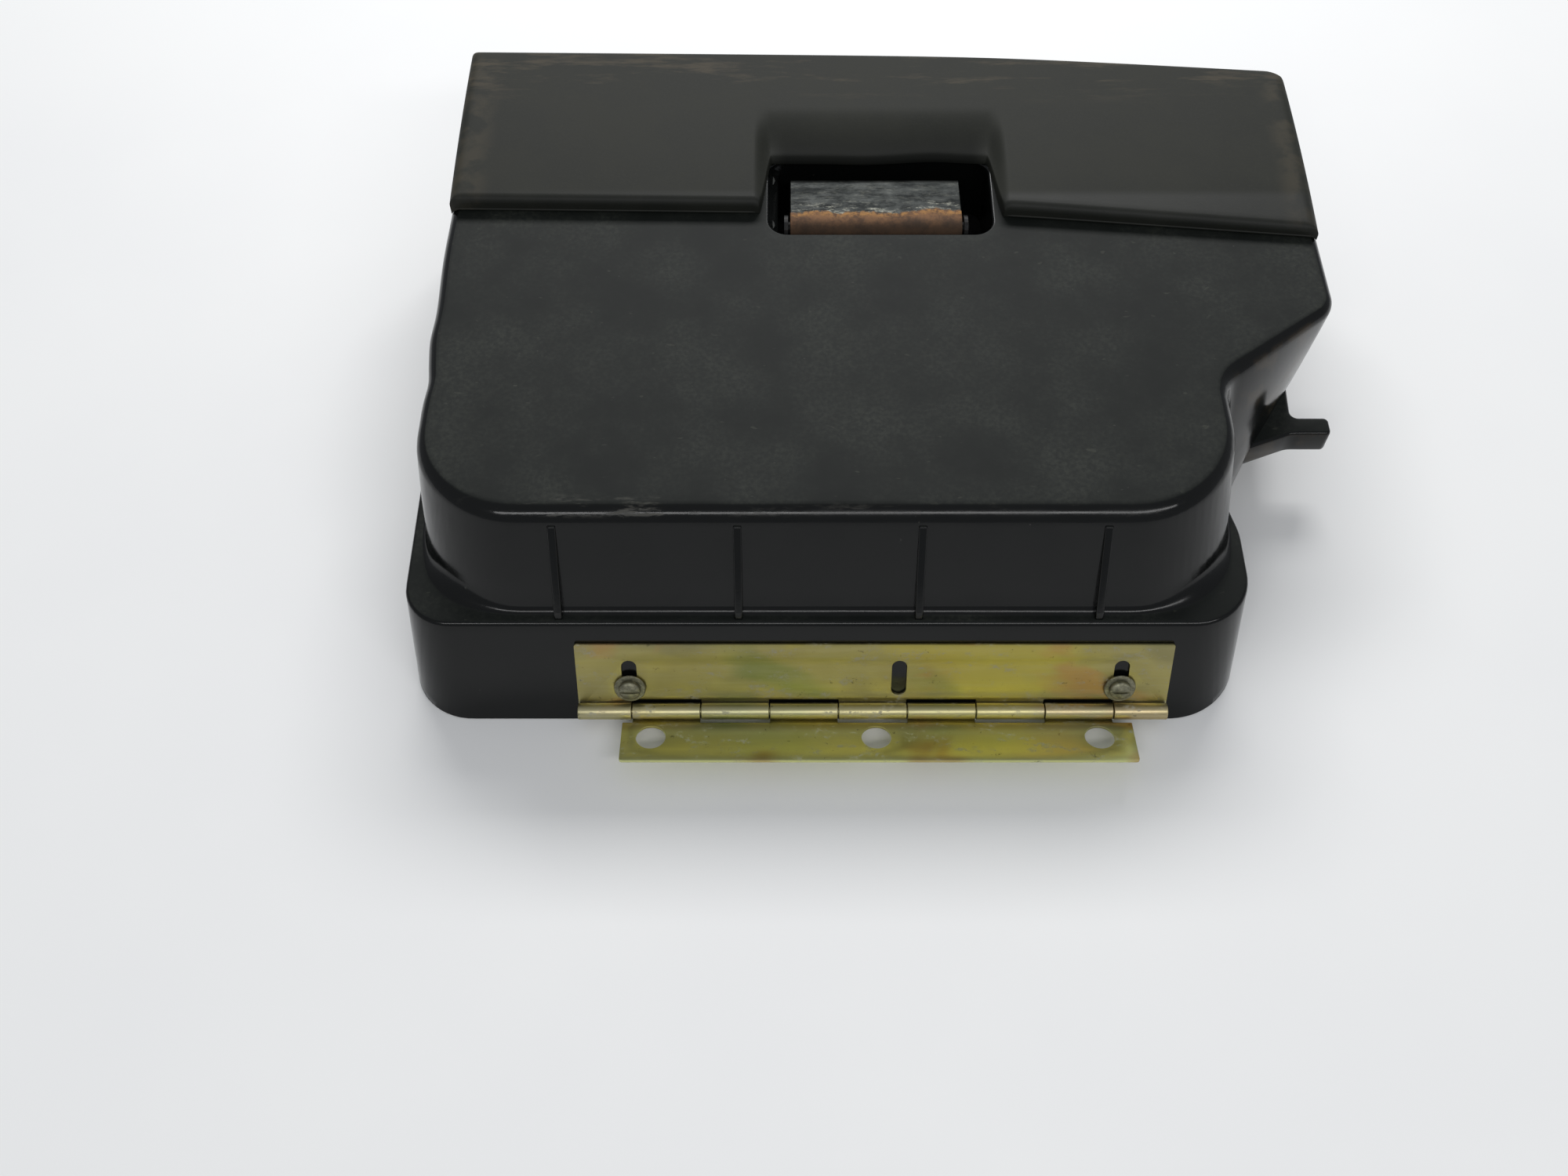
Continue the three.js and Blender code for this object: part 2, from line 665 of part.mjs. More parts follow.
// A torsion spring round the pivot pin, with one leg down to the bracket's floor.
function latchSpring() {
  const coilLength = springTurns * springWire * 2.4;
  const points = steps(springTurns * 10).map((t) => {
    const angle = t * springTurns * 2 * Math.PI;
    return new THREE.Vector3(
      springMiddle + coilLength * (t - 0.5),
      leverPivot.y + springRadius * Math.cos(angle),
      leverPivot.z + springRadius * Math.sin(angle),
    );
  });
  const last = points.at(-1);
  points.push(new THREE.Vector3(last.x + 0.2, last.y - 0.3, last.z - 3));
  points.push(new THREE.Vector3(last.x + 0.2, last.y - 3, pocket.bottom + 1));
  const section = new THREE.Shape(steps(6).slice(0, -1).map((t) =>
    new THREE.Vector2(springWire * Math.cos(t * 2 * Math.PI), springWire * Math.sin(t * 2 * Math.PI))));
  const path = new THREE.CatmullRomCurve3(points, false, 'centripetal');
  return new THREE.ExtrudeGeometry(section, { steps: points.length + 10, extrudePath: path });
}

// ---------------------------------------------------------------- assembly

const group = new THREE.Group();

function place(name, geometry, surface, parent = group) {
  const mesh = new THREE.Mesh(geometry, surface);
  mesh.name = name;
  parent.add(mesh);
  return mesh;
}

place('tub', geometryOf(buildTub()), blackPlastic);
place('top_cover', geometryOf(buildTopCover()), coverPlastic);
coverScrews.forEach(([x, y], i) => {
  const screw = place(`cover_screw_${i + 1}`, panScrew(6, 1.35, 2.9), screwSteel);
  screw.rotation.x = Math.PI;
  screw.position.set(x, y, tubHeight - wall - 0.1);
});

place('latch_lever', geometryOf(latchLever()), latchSteel);
place('latch_hook', latchHook(), darkSteel);
place('latch_bracket', geometryOf(latchBracket()), darkSteel);
const pivotPin = rodAlongX(pivotPinRadius, leverLeft - 2.2, leverRight + 3, leverPivot.y, leverPivot.z);
place('latch_pivot_pin', pivotPin, darkSteel);
place('latch_spring', latchSpring(), springSteel);
[['left', leverLeft + 0.5], ['right', leverRight - 0.5 - bushLength]].forEach(([name, x]) => {
  const tube = ring(pivotPinRadius + 0.1, rollRadius - steel - 0.1, bushLength);
  const bush = place(`latch_bush_${name}`, tube, nylon);
  bush.rotation.y = Math.PI / 2;
  bush.position.set(x, leverPivot.y, leverPivot.z);
});
bracketBosses.forEach(([x, y], i) => {
  const screw = place(`bracket_screw_${i + 1}`, panScrew(9, 1.5, 3), screwSteel);
  screw.rotation.x = Math.PI;
  screw.position.set(x, y, pocket.bottom - fit - steel - 0.1);
});

// Everything on the sloped front wall: local Y runs up the wall and local Z points out of it.
const frontWall = new THREE.Group();
frontWall.rotation.x = Math.PI / 2 - wallTilt;
group.add(frontWall);
const upperLeafFrame = new THREE.Group();
upperLeafFrame.position.set(0, hingeHeight, knuckleRadius + leafGap);
frontWall.add(upperLeafFrame);
place('hinge_leaf_upper', geometryOf(hingeLeaf({
  left: hingeLeft + 0.2,
  right: hingeRight - 0.2,
  reach: upperLeafTop - hingeHeight,
  ownSpans: upperSpans,
  otherSpans: lowerSpans,
  below: true,
  holes: slots.map(slotHole),
})), yellowZinc, upperLeafFrame);
const hingePin = rodAlongX(hingePinRadius, hingeLeft + 0.3, hingeRight - 0.3);
place('hinge_pin', hingePin, yellowZinc, upperLeafFrame);

const lowerLeafFrame = new THREE.Group();
lowerLeafFrame.rotation.x = lowerLeafAngle - frontWall.rotation.x;
upperLeafFrame.add(lowerLeafFrame);
place('hinge_leaf_lower', geometryOf(hingeLeaf({
  left: lowerLeafLeft,
  right: lowerLeafRight,
  reach: lowerLeafReach,
  ownSpans: lowerSpans,
  otherSpans: upperSpans,
  below: false,
  holes: mountingHoles.map(mountingHole),
})), yellowZinc, lowerLeafFrame);

const leafTop = leafGap + leafThickness;
const wallInside = -wall * Math.cos(wallTilt);
[['left', screwSlots[0]], ['right', screwSlots[1]]].forEach(([side, x]) => {
  const stack = [
    ['hinge_washer', ring(screwShank + 0.2, 5.8, 1), leafTop + 0.1],
    ['hinge_screw', panScrew(13), leafTop + 1.2],
    ['hinge_inner_washer', ring(screwShank + 0.2, 4.5, 0.9), wallInside - 1],
    ['hinge_nut', hexNut(7, screwShank + 0.1, 3.2), wallInside - 4.3],
  ];
  stack.forEach(([name, geometry, height]) => {
    place(`${name}_${side}`, geometry, screwSteel, frontWall).position.set(x, screwHeight, height);
  });
});

// The origin is under the middle of the whole object, on the surface that the rim stands on.
group.updateMatrixWorld(true);
const bounds = new THREE.Box3().setFromObject(group, true);
const middle = bounds.getCenter(new THREE.Vector3());
group.position.set(-middle.x, -middle.y, -bounds.min.z);

export default group;
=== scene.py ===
"""Looks for a tilt-out glove box that lies rim down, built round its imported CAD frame.

Shapes are worked out in millimetres in the part's own drawing frame, where X runs along the hinge,
Y from the hinge to the latch and Z up from the rim. placed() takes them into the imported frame.
"""

from math import atan2, cos, pi, radians, sin, tan

import bmesh
import bpy
import numpy as np
from mathutils import Matrix, Vector


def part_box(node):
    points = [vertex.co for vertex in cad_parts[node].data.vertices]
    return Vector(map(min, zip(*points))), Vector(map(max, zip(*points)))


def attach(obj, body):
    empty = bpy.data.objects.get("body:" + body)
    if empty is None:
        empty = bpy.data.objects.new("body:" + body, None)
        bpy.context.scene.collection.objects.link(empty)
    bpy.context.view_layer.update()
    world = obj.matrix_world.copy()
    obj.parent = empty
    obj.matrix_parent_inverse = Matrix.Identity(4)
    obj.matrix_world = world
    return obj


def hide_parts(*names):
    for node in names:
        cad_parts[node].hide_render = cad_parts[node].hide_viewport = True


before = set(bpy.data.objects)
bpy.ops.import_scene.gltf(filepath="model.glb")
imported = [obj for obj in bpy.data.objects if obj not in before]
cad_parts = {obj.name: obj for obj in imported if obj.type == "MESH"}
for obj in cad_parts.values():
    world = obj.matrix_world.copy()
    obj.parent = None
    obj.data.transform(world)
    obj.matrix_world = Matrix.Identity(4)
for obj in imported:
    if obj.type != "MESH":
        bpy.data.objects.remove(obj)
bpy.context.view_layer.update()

# -------- driving dimensions, millimetres

FIT = 0.3
WALL_TILT = radians(24)
SIDE_DRAFT = 0.035
WALL = 3.0

FLANGE_HEIGHT = 40.6
FLANGE_HALF_WIDTH = 156.6
FLANGE_CORNER = 26.0
FLANGE_EDGE = 1.3
RIM_EDGE = 0.6
FLANGE_SIDE_END = 95.0
LEDGE_FILLET = 2.2
CORNER_SCOOP = 8.0

TUB_HEIGHT = 79.5
TUB_FRONT_AT_FLANGE = 23.1
TUB_HALF_WIDTH = 149.3
TUB_CORNER = 41.0
TOP_EDGE = 4.6
WING_RIGHT = 194.8
BACK_LEAN = 0.12
LEFT_BACK = 271.5
BACK_BEND_X = 72.0
RIGHT_BACK = 258.5

RIB_SPACING = 65.3
RIB_THICKNESS = 3.0
RIB_TOP = 74.0

ARM_FRONT = 112.1
ARM_BACK = 120.5
ARM_TIP = 202.4
ARM_BOTTOM = 19.7
ARM_TOP = 31.0

COVER_LEFT = -148.8
COVER_RIGHT = 193.2
COVER_FRONT = 184.2
COVER_FRONT_SKEW = 0.0155
COVER_FRONT_SWING = 0.083
COVER_BACK = 274.4
COVER_BACK_SKEW = 0.012
COVER_BACK_SWING = 0.075
COVER_CROWN = 88.0
COVER_LIP = 82.6
COVER_SKIN = 2.5
COVER_SKIRT = 66.0
COVER_ROLL = 5.0
COVER_LEFT_CORNER = 3.5
COVER_RIGHT_CORNER = 8.0
LIP_ROLL = 3.0
BACK_ROLL = 6.0
RECESS_LEFT = -23.6
RECESS_RIGHT = 68.4
RECESS_SLOT = 212.3
RECESS_START = 237.0
NOTCH_FLARE = 2.6

POCKET_LEFT = -18.7
POCKET_RIGHT = 66.4
POCKET_FRONT = 173.9
POCKET_BACK = 215.0
POCKET_CORNER = 6.0
POCKET_BOTTOM = 50.0
POCKET_WALL = 2.5
POCKET_EDGE = 1.3
MOUTH_FLARE = 3.4
MOUTH_DEPTH = 3.2
BOSS_RADIUS = 4.0
BRACKET_PILOT = 1.6
COVER_PILOT = 1.45
COVER_SCREW_HOLE = 2.1
HINGE_SCREW_HOLE = 2.4
BRACKET_BOSSES = [(x, y) for x in (-23.8, 71.5) for y in (181.0, 206.0)]
COVER_SCREWS = [(-128, 208), (-128, 252), (-48, 250), (98, 248), (172, 196), (172, 240)]

STEEL = 1.5
LEVER_LEFT = -13.7
LEVER_RIGHT = 54.8
PIVOT_Y = 184.2
PIVOT_Z = 72.0
ROLL_RADIUS = 5.6
LEVER_BACK = 207.0
LEVER_DROP = 1.5
SPRING_WINDOW = (-2.5, 7.5)
PIVOT_PIN_RADIUS = 2.5
BUSH_LENGTH = 9.0

KNUCKLE_PITCH = 25.6
END_KNUCKLE = 20.3
KNUCKLE_RADIUS = 3.15
KNUCKLE_BORE = 1.6
HINGE_PIN_RADIUS = 1.5
HINGE_LEFT = -93.1
LEAF_THICKNESS = 1.2
LEAF_GAP = 0.1
HINGE_HEIGHT = 6.75
UPPER_LEAF_TOP = 35.9
LOWER_LEAF_REACH = 22.6
LOWER_LEAF_ANGLE = radians(165)
LOWER_LEAF_LEFT = -76.4
LOWER_LEAF_RIGHT = 113.3
SLOTS = [-73.3, 26.3, 108.2]
SLOT_WIDTH = 5.5
SLOT_RANGE = (12.9, 28.5)
SCREW_HEIGHT = 16.4
MOUNTING_HOLES = [-65.4, 17.9, 100.3]
MOUNTING_HOLE_RADIUS = 5.5
MOUNTING_HOLE_REACH = 11.2

# Screws as length, shank radius and head radius; washers as outer radius, thickness and edge.
COVER_SCREW = (6, 1.35, 2.9)
BRACKET_SCREW = (9, 1.5, 3)
HINGE_SCREW = (13, 2.0, 4.0)
HINGE_WASHER = (5.8, 1, 0.25)
INNER_WASHER = (4.5, 0.9, 0.2)
NUT_FLATS = 7
NUT_HEIGHT = 3.2
THREAD_PITCH = 0.7
THREAD_DEPTH = 0.25

# The drawing frame's origin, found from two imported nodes.
MM = 0.001
pin_low, pin_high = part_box("latch_pivot_pin")
lever_low, lever_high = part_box("latch_lever")
ORIGIN = Vector((lever_low.x - LEVER_LEFT * MM, (pin_low.y + pin_high.y) / 2 - PIVOT_Y * MM, 0))

FRONT_WALL = Matrix.Rotation(pi / 2 - WALL_TILT, 4, "X")
UPPER_LEAF = FRONT_WALL @ Matrix.Translation((0, HINGE_HEIGHT, KNUCKLE_RADIUS + LEAF_GAP))
LOWER_LEAF = UPPER_LEAF @ Matrix.Rotation(LOWER_LEAF_ANGLE - pi / 2 + WALL_TILT, 4, "X")
UPRIGHT = Matrix.Identity(4)


# -------- mesh helpers

def placed(points, place=UPRIGHT):
    """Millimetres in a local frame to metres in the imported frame."""
    local = np.asarray(points, float)
    turned = local @ np.array(place.to_3x3()).T + np.array(place.translation)
    return turned * MM + np.array(ORIGIN)


def in_scene(name, data):
    carrier = bpy.data.objects.new(name, data)
    bpy.context.scene.collection.objects.link(carrier)
    return carrier


def baked(carrier):
    """The mesh of a curve, or of a piece with its modifiers applied."""
    bpy.context.view_layer.update()
    graph = bpy.context.evaluated_depsgraph_get()
    return bpy.data.meshes.new_from_object(carrier.evaluated_get(graph))


def mesh_object(name, points, faces, place=UPRIGHT):
    mesh = bpy.data.meshes.new(name)
    mesh.from_pydata(placed(points, place).tolist(), [], [tuple(face) for face in faces])
    tidy(mesh)
    return in_scene(name, mesh)


def tidy(mesh, merge=2e-6):
    body = bmesh.new()
    body.from_mesh(mesh)
    bmesh.ops.remove_doubles(body, verts=body.verts, dist=merge)
    bmesh.ops.dissolve_degenerate(body, edges=body.edges, dist=merge)
    bmesh.ops.recalc_face_normals(body, faces=body.faces)
    body.to_mesh(mesh)
    body.free()


def shade(piece, angle=32):
    piece.data.shade_smooth()
    piece.data.set_sharp_from_angle(angle=radians(angle))
    return piece


def combine(piece, others, operation):
    """Joins to a piece, or cuts from it, each of the others, which are then gone."""
    for other in others:
        modifier = piece.modifiers.new("boolean", "BOOLEAN")
        modifier.operation = operation
        modifier.solver = "MANIFOLD"
        modifier.object = other
        result = baked(piece)
        piece.modifiers.remove(modifier)
        piece.data = result
        bpy.data.objects.remove(other)
    return piece


def join(piece, *others):
    return combine(piece, others, "UNION")


def cut(piece, *others):
    return combine(piece, others, "DIFFERENCE")


def grid_faces(rows, columns, closed_rows=False, closed_columns=False):
    """Quads over a grid of points whose number runs along the columns first."""
    faces = []
    for r in range(rows if closed_rows else rows - 1):
        for c in range(columns if closed_columns else columns - 1):
            here = r * columns
            below = (r + 1) % rows * columns
            beside = (c + 1) % columns
            faces.append((here + c, here + beside, below + beside, below + c))
    return faces


def capped(rings):
    """Points and faces of a tube through closed rings of equal length, with a face at each end."""
    rings = [np.asarray(ring, float) for ring in rings]
    count = len(rings[0])
    faces = grid_faces(len(rings), count, closed_columns=True)
    faces.append(tuple(range(count))[::-1])
    faces.append(tuple(range((len(rings) - 1) * count, len(rings) * count)))
    return np.concatenate(rings), faces


def turned_piece(name, profile, place, closed=False, sides=48):
    """Turned about its local Z axis from (radius, height) pairs that start and end on the axis.

    With closed, the pairs run round the section of a ring instead.
    """
    angles = np.arange(sides) * 2 * pi / sides
    points = [(r * cos(a), r * sin(a), z) for r, z in profile for a in angles]
    return mesh_object(name, points, grid_faces(len(profile), sides, closed, True), place)


def quarter(radius, steps=5):
    """(inwards, upwards) offsets round a quarter circle, from the side face to the top face."""
    return [(radius * (1 - cos(t)), radius * sin(t)) for t in np.linspace(0, pi / 2, steps)]


# -------- outlines

def rounded(corners, points=9):
    """Points round a polygon of (x, y, radius) corners that runs anticlockwise, as complex numbers."""
    outline = []
    for i, (x, y, radius) in enumerate(corners):
        here = complex(x, y)
        before = complex(*corners[i - 1][:2]) - here
        after = complex(*corners[(i + 1) % len(corners)][:2]) - here
        before /= abs(before)
        after /= abs(after)
        half = np.arccos(np.clip((before * after.conjugate()).real, -1, 1)) / 2
        reach = max(radius, 0.01) / tan(half)
        start = here + before * reach
        centre = here + (before + after) / abs(before + after) * reach / cos(half)
        end = here + after * reach
        sweep = np.angle((end - centre) / (start - centre))
        outline.extend(centre + (start - centre) * np.exp(1j * sweep * np.linspace(0, 1, points)))
    return np.array(outline)


def inset(corners, distance):
    """The corners with every side moved inwards; a negative distance moves them outwards."""
    places = [complex(x, y) for x, y, _ in corners]
    along = [places[(i + 1) % len(places)] - here for i, here in enumerate(places)]
    along = [side / abs(side) for side in along]
    moved = [here + 1j * side * distance for here, side in zip(places, along)]
    result = []
    for i, (_, _, radius) in enumerate(corners):
        turn = (along[i - 1].conjugate() * along[i]).imag
        reach = ((moved[i] - moved[i - 1]).conjugate() * along[i]).imag / turn
        corner = moved[i - 1] + along[i - 1] * reach
        result.append((corner.real, corner.imag, max(0.1, radius - np.sign(turn) * distance)))
    return result


def rectangle(left, right, front, back, radius):
    return [(left, front, radius), (right, front, radius), (right, back, radius), (left, back, radius)]


def mix(a, b, t):
    return a + (b - a) * t


def smooth(value, start, end):
    """Rises smoothly from 0 to 1 between two values, which may run either way."""
    t = np.clip((value - start) / (end - start), 0, 1)
    return t * t * (3 - 2 * t)


def bevelled(low, high, edge):
    """(place, inwards) of the sections along a length with both ends rounded off."""
    ends = quarter(edge, 4)
    levels = [(low + edge - up, inwards) for inwards, up in reversed(ends)]
    return levels + [(high - edge + up, inwards) for inwards, up in ends]


def extruded(name, outline, low, high, edge=0.4, place=UPRIGHT):
    """An outline of complex points drawn upwards, with both rims bevelled."""
    outline = np.asarray(outline)
    tangent = np.roll(outline, -1) - np.roll(outline, 1)
    inward = 1j * tangent / np.maximum(abs(tangent), 1e-9)
    rings = []
    for z, inwards in bevelled(low, high, edge):
        ring = outline + inward * inwards
        rings.append(np.column_stack([ring.real, ring.imag, np.full(len(ring), z)]))
    points, faces = capped(rings)
    return mesh_object(name, points, faces, place)


def rod(name, radius, x, y, low, high, place=UPRIGHT, sides=40):
    circle = complex(x, y) + radius * np.exp(2j * pi * np.arange(sides) / sides)
    return extruded(name, circle, low, high, 0.2, place)


# -------- tub

SLOPE = tan(WALL_TILT)


def back_lean(z):
    return BACK_LEAN * (TUB_HEIGHT - z)


def flange_corners(z):
    half = FLANGE_HALF_WIDTH - SIDE_DRAFT * z
    radius = FLANGE_CORNER - 0.15 * z
    back = LEFT_BACK - 4 - back_lean(z)
    return [
        (-half, SLOPE * z, radius - 3),
        (half - 0.2, SLOPE * z, radius + 2),
        (half - 0.2, FLANGE_SIDE_END - 37, 30),
        (half - 9, FLANGE_SIDE_END, 20),
        (half - 30, back - 20, 8),
        (-half, back, 8),
    ]


def tub_corners(z):
    lift = np.clip((z - ARM_TOP) / (TUB_HEIGHT - ARM_TOP), 0, 1)
    drop = max(0, (ARM_TOP - z) / ARM_TOP)
    half = TUB_HALF_WIDTH - SIDE_DRAFT * (z - FLANGE_HEIGHT)
    front = TUB_FRONT_AT_FLANGE + SLOPE * (z - FLANGE_HEIGHT)
    return [
        (-half - 1.0, front, TUB_CORNER - 3),
        (half, front, TUB_CORNER),
        (mix(152, 146.8, lift) + 3 * drop, mix(79, 101.5, lift), 16),
        (mix(191.6, WING_RIGHT, lift) - 8 * drop, mix(140.5, 135.5, lift), 13),
        (WING_RIGHT - 1.4, RIGHT_BACK - back_lean(z), 8),
        (BACK_BEND_X, LEFT_BACK - 1.8 - back_lean(z), 60),
        (-half - 1.0, LEFT_BACK - back_lean(z), 8),
    ]


POCKET_OUTLINE = rectangle(POCKET_LEFT, POCKET_RIGHT, POCKET_FRONT, POCKET_BACK, POCKET_CORNER)
POCKET_MOUTH = rectangle(
    POCKET_LEFT - MOUTH_FLARE, POCKET_RIGHT, POCKET_FRONT, POCKET_BACK, POCKET_CORNER + 1.5,
)
POCKET_CENTRE = complex(POCKET_LEFT + POCKET_RIGHT, POCKET_FRONT + POCKET_BACK) / 2


def ray_angles(count=640):
    """Directions from the pocket's middle: evenly spread, with more of them at every rounded corner."""
    outlines = [tub_corners(TUB_HEIGHT), tub_corners(FLANGE_HEIGHT)]
    outlines += [flange_corners(FLANGE_HEIGHT), POCKET_OUTLINE]
    corners = [np.angle(rounded(outline) - POCKET_CENTRE) for outline in outlines]
    angles = np.sort(np.concatenate([np.linspace(-pi, pi, count, endpoint=False), *corners]))
    apart = np.diff(angles, prepend=angles[0] - 1) > radians(0.12)
    return angles[apart]


RAYS = ray_angles()


def reach(corners, angles=None):
    """How far each ray goes from the pocket's middle before it meets the rounded outline."""
    angles = RAYS if angles is None else angles
    points = rounded(corners, 17) - POCKET_CENTRE
    turn = np.unwrap(np.angle(points))
    wanted = turn[0] + (angles - turn[0]) % (2 * pi)
    first = np.clip(np.searchsorted(turn, wanted, side="right") - 1, 0, len(points) - 1)
    start = points[first]
    side = points[(first + 1) % len(points)] - start
    ray = np.exp(1j * angles)
    return (start.conjugate() * side).imag / (ray.conjugate() * side).imag


def blended_max(a, b, soft=3.0):
    """The larger of two reaches, with a small fillet where they cross."""
    near = np.clip(1 - np.abs(a - b) / soft, 0, 1)
    return np.maximum(a, b) + soft * near ** 2 / 4


def side_wave(x, y, z):
    """The left wall is not quite true: it is sucked in a little about halfway along."""
    left = smooth(x, -120, -140) * smooth(z, FLANGE_HEIGHT, FLANGE_HEIGHT + 20)
    dent = 0.9 * np.exp(-((y - 100) / 7) ** 2) - 0.7 * np.exp(-((y - 162) / 20) ** 2)
    swell = 0.9 * np.exp(-((y - 121) / 9) ** 2) + 0.3 * np.exp(-((y - 62) / 12) ** 2)
    return left * (dent - swell)


def ring_at(radius, z):
    points = POCKET_CENTRE + radius * np.exp(1j * RAYS)
    height = np.broadcast_to(z, radius.shape)
    return np.column_stack([points.real + side_wave(points.real, points.imag, height), points.imag, height])


def tub_rings():
    """Rings of the tub's closed skin: up the outside, over the face, down the pocket and back inside."""
    rings = []

    def lower(z, offset):
        flange = reach(inset(flange_corners(z), offset))
        return blended_max(flange, reach(inset(tub_corners(z), offset)))

    for inwards, up in reversed(quarter(RIM_EDGE, 4)):
        rings.append(ring_at(lower(RIM_EDGE, inwards), RIM_EDGE - up))
    for z in np.linspace(RIM_EDGE, FLANGE_HEIGHT - FLANGE_EDGE, 14)[1:]:
        rings.append(ring_at(lower(z, 0), z))
    wall_foot = reach(tub_corners(FLANGE_HEIGHT))
    for inwards, up in quarter(FLANGE_EDGE, 7)[1:]:
        z = FLANGE_HEIGHT - FLANGE_EDGE + up
        flange = reach(inset(flange_corners(z), inwards))
        rings.append(ring_at(blended_max(flange, reach(tub_corners(z))), z))
    ridge = blended_max(reach(inset(flange_corners(FLANGE_HEIGHT), FLANGE_EDGE)), wall_foot)
    ledge = np.maximum(ridge - wall_foot, 0)
    fillet = np.minimum(np.clip(0.45 * ledge, LEDGE_FILLET, CORNER_SCOOP), ledge)
    above_scoop = reach(tub_corners(FLANGE_HEIGHT + CORNER_SCOOP))
    for t in np.linspace(0, 1, 5)[1:]:
        rings.append(ring_at(mix(ridge, wall_foot + fillet, t), FLANGE_HEIGHT))
    for t in np.linspace(0, pi / 2, 9)[1:]:
        rise = fillet * (1 - cos(t))
        wall = mix(wall_foot, above_scoop, rise / CORNER_SCOOP)
        rings.append(ring_at(wall + fillet * (1 - sin(t)), FLANGE_HEIGHT + rise))
    for z in np.linspace(FLANGE_HEIGHT + CORNER_SCOOP + 0.5, TUB_HEIGHT - TOP_EDGE, 16):
        rings.append(ring_at(reach(tub_corners(z)), z))
    for inwards, up in quarter(TOP_EDGE, 11)[1:]:
        z = TUB_HEIGHT - TOP_EDGE + up
        rings.append(ring_at(reach(inset(tub_corners(z), inwards)), z))

    face_edge = reach(inset(tub_corners(TUB_HEIGHT), TOP_EDGE))
    pocket_rim = reach(inset(POCKET_MOUTH, -POCKET_EDGE))
    for t in np.linspace(0, 1, 26)[1:]:
        rings.append(ring_at(mix(face_edge, pocket_rim, t), TUB_HEIGHT))
    shoulder = TUB_HEIGHT - POCKET_EDGE
    for inwards, up in reversed(quarter(POCKET_EDGE, 6)[:-1]):
        rings.append(ring_at(reach(inset(POCKET_MOUTH, -inwards)), shoulder + up))
    mouth = reach(POCKET_MOUTH)
    pocket = reach(POCKET_OUTLINE)
    for t in np.linspace(0, 1, 5)[1:]:
        rings.append(ring_at(mix(mouth, pocket, t), shoulder - MOUTH_DEPTH * t))
    for z in np.linspace(shoulder - MOUTH_DEPTH, POCKET_BOTTOM, 8)[1:]:
        rings.append(ring_at(pocket, z))
    shaft = reach(inset(POCKET_OUTLINE, -POCKET_WALL))
    for z in np.linspace(POCKET_BOTTOM, TUB_HEIGHT - WALL, 8):
        rings.append(ring_at(shaft, z))
    inner_top = reach(inset(tub_corners(TUB_HEIGHT - WALL), WALL + 1))
    for t in np.linspace(0, 1, 12)[1:]:
        rings.append(ring_at(mix(shaft, inner_top, t), TUB_HEIGHT - WALL))
    for z in np.linspace(TUB_HEIGHT - WALL - 1, FLANGE_HEIGHT - WALL, 12):
        rings.append(ring_at(reach(inset(tub_corners(z), WALL)), z))
    for z in np.linspace(FLANGE_HEIGHT - WALL, 0, 10):
        rings.append(ring_at(lower(z, WALL), z))
    return rings


def rib(index, x):
    """An upright web between the ledge and the sloped wall."""
    foot = SLOPE * FLANGE_HEIGHT
    lean = SLOPE * (RIB_TOP - FLANGE_HEIGHT)
    side = [
        complex(foot + 1.2, FLANGE_HEIGHT - 1),
        complex(TUB_FRONT_AT_FLANGE + WALL - 0.5, FLANGE_HEIGHT - 1),
        complex(TUB_FRONT_AT_FLANGE + WALL + lean - 0.5, RIB_TOP),
        complex(TUB_FRONT_AT_FLANGE + lean - 0.8, RIB_TOP),
        complex(foot + 2.4, FLANGE_HEIGHT + 3),
    ]
    outline = rounded([(p.real, p.imag, 0.8) for p in side], 5)
    half = RIB_THICKNESS / 2
    upright = Matrix(((0, 0, 1, x), (1, 0, 0, 0), (0, 1, 0, 0), (0, 0, 0, 1)))
    return extruded(f"rib_{index}", outline, -half, half, 0.5, upright)


def stop_arm():
    """The stop arm flares out of the wing wall and ends in a square tip."""
    plan = [
        (168, 104.7, 7),
        (ARM_TIP - 16, ARM_FRONT, 12),
        (ARM_TIP, ARM_FRONT, 2.2),
        (ARM_TIP, ARM_BACK, 2.2),
        (ARM_TIP - 15, ARM_BACK, 3),
        (188.4, 137, 1),
        (178, 137, 1),
        (156, 99, 1),
    ]
    return extruded("stop_arm", rounded(plan, 7), ARM_BOTTOM, ARM_TOP, 1.4)


def tub_form(name, offset, bottom, top):
    """The tub's own block between two heights, moved inwards all round by an offset."""
    levels = np.linspace(bottom, top - TOP_EDGE, 8)
    rings = [ring_at(reach(inset(tub_corners(z), offset)), z) for z in levels]
    for inwards, up in quarter(TOP_EDGE, 9)[1:]:
        z = top - TOP_EDGE + up
        rings.append(ring_at(reach(inset(tub_corners(z), offset + inwards)), z))
    points, faces = capped(rings)
    return mesh_object(name, points, faces)


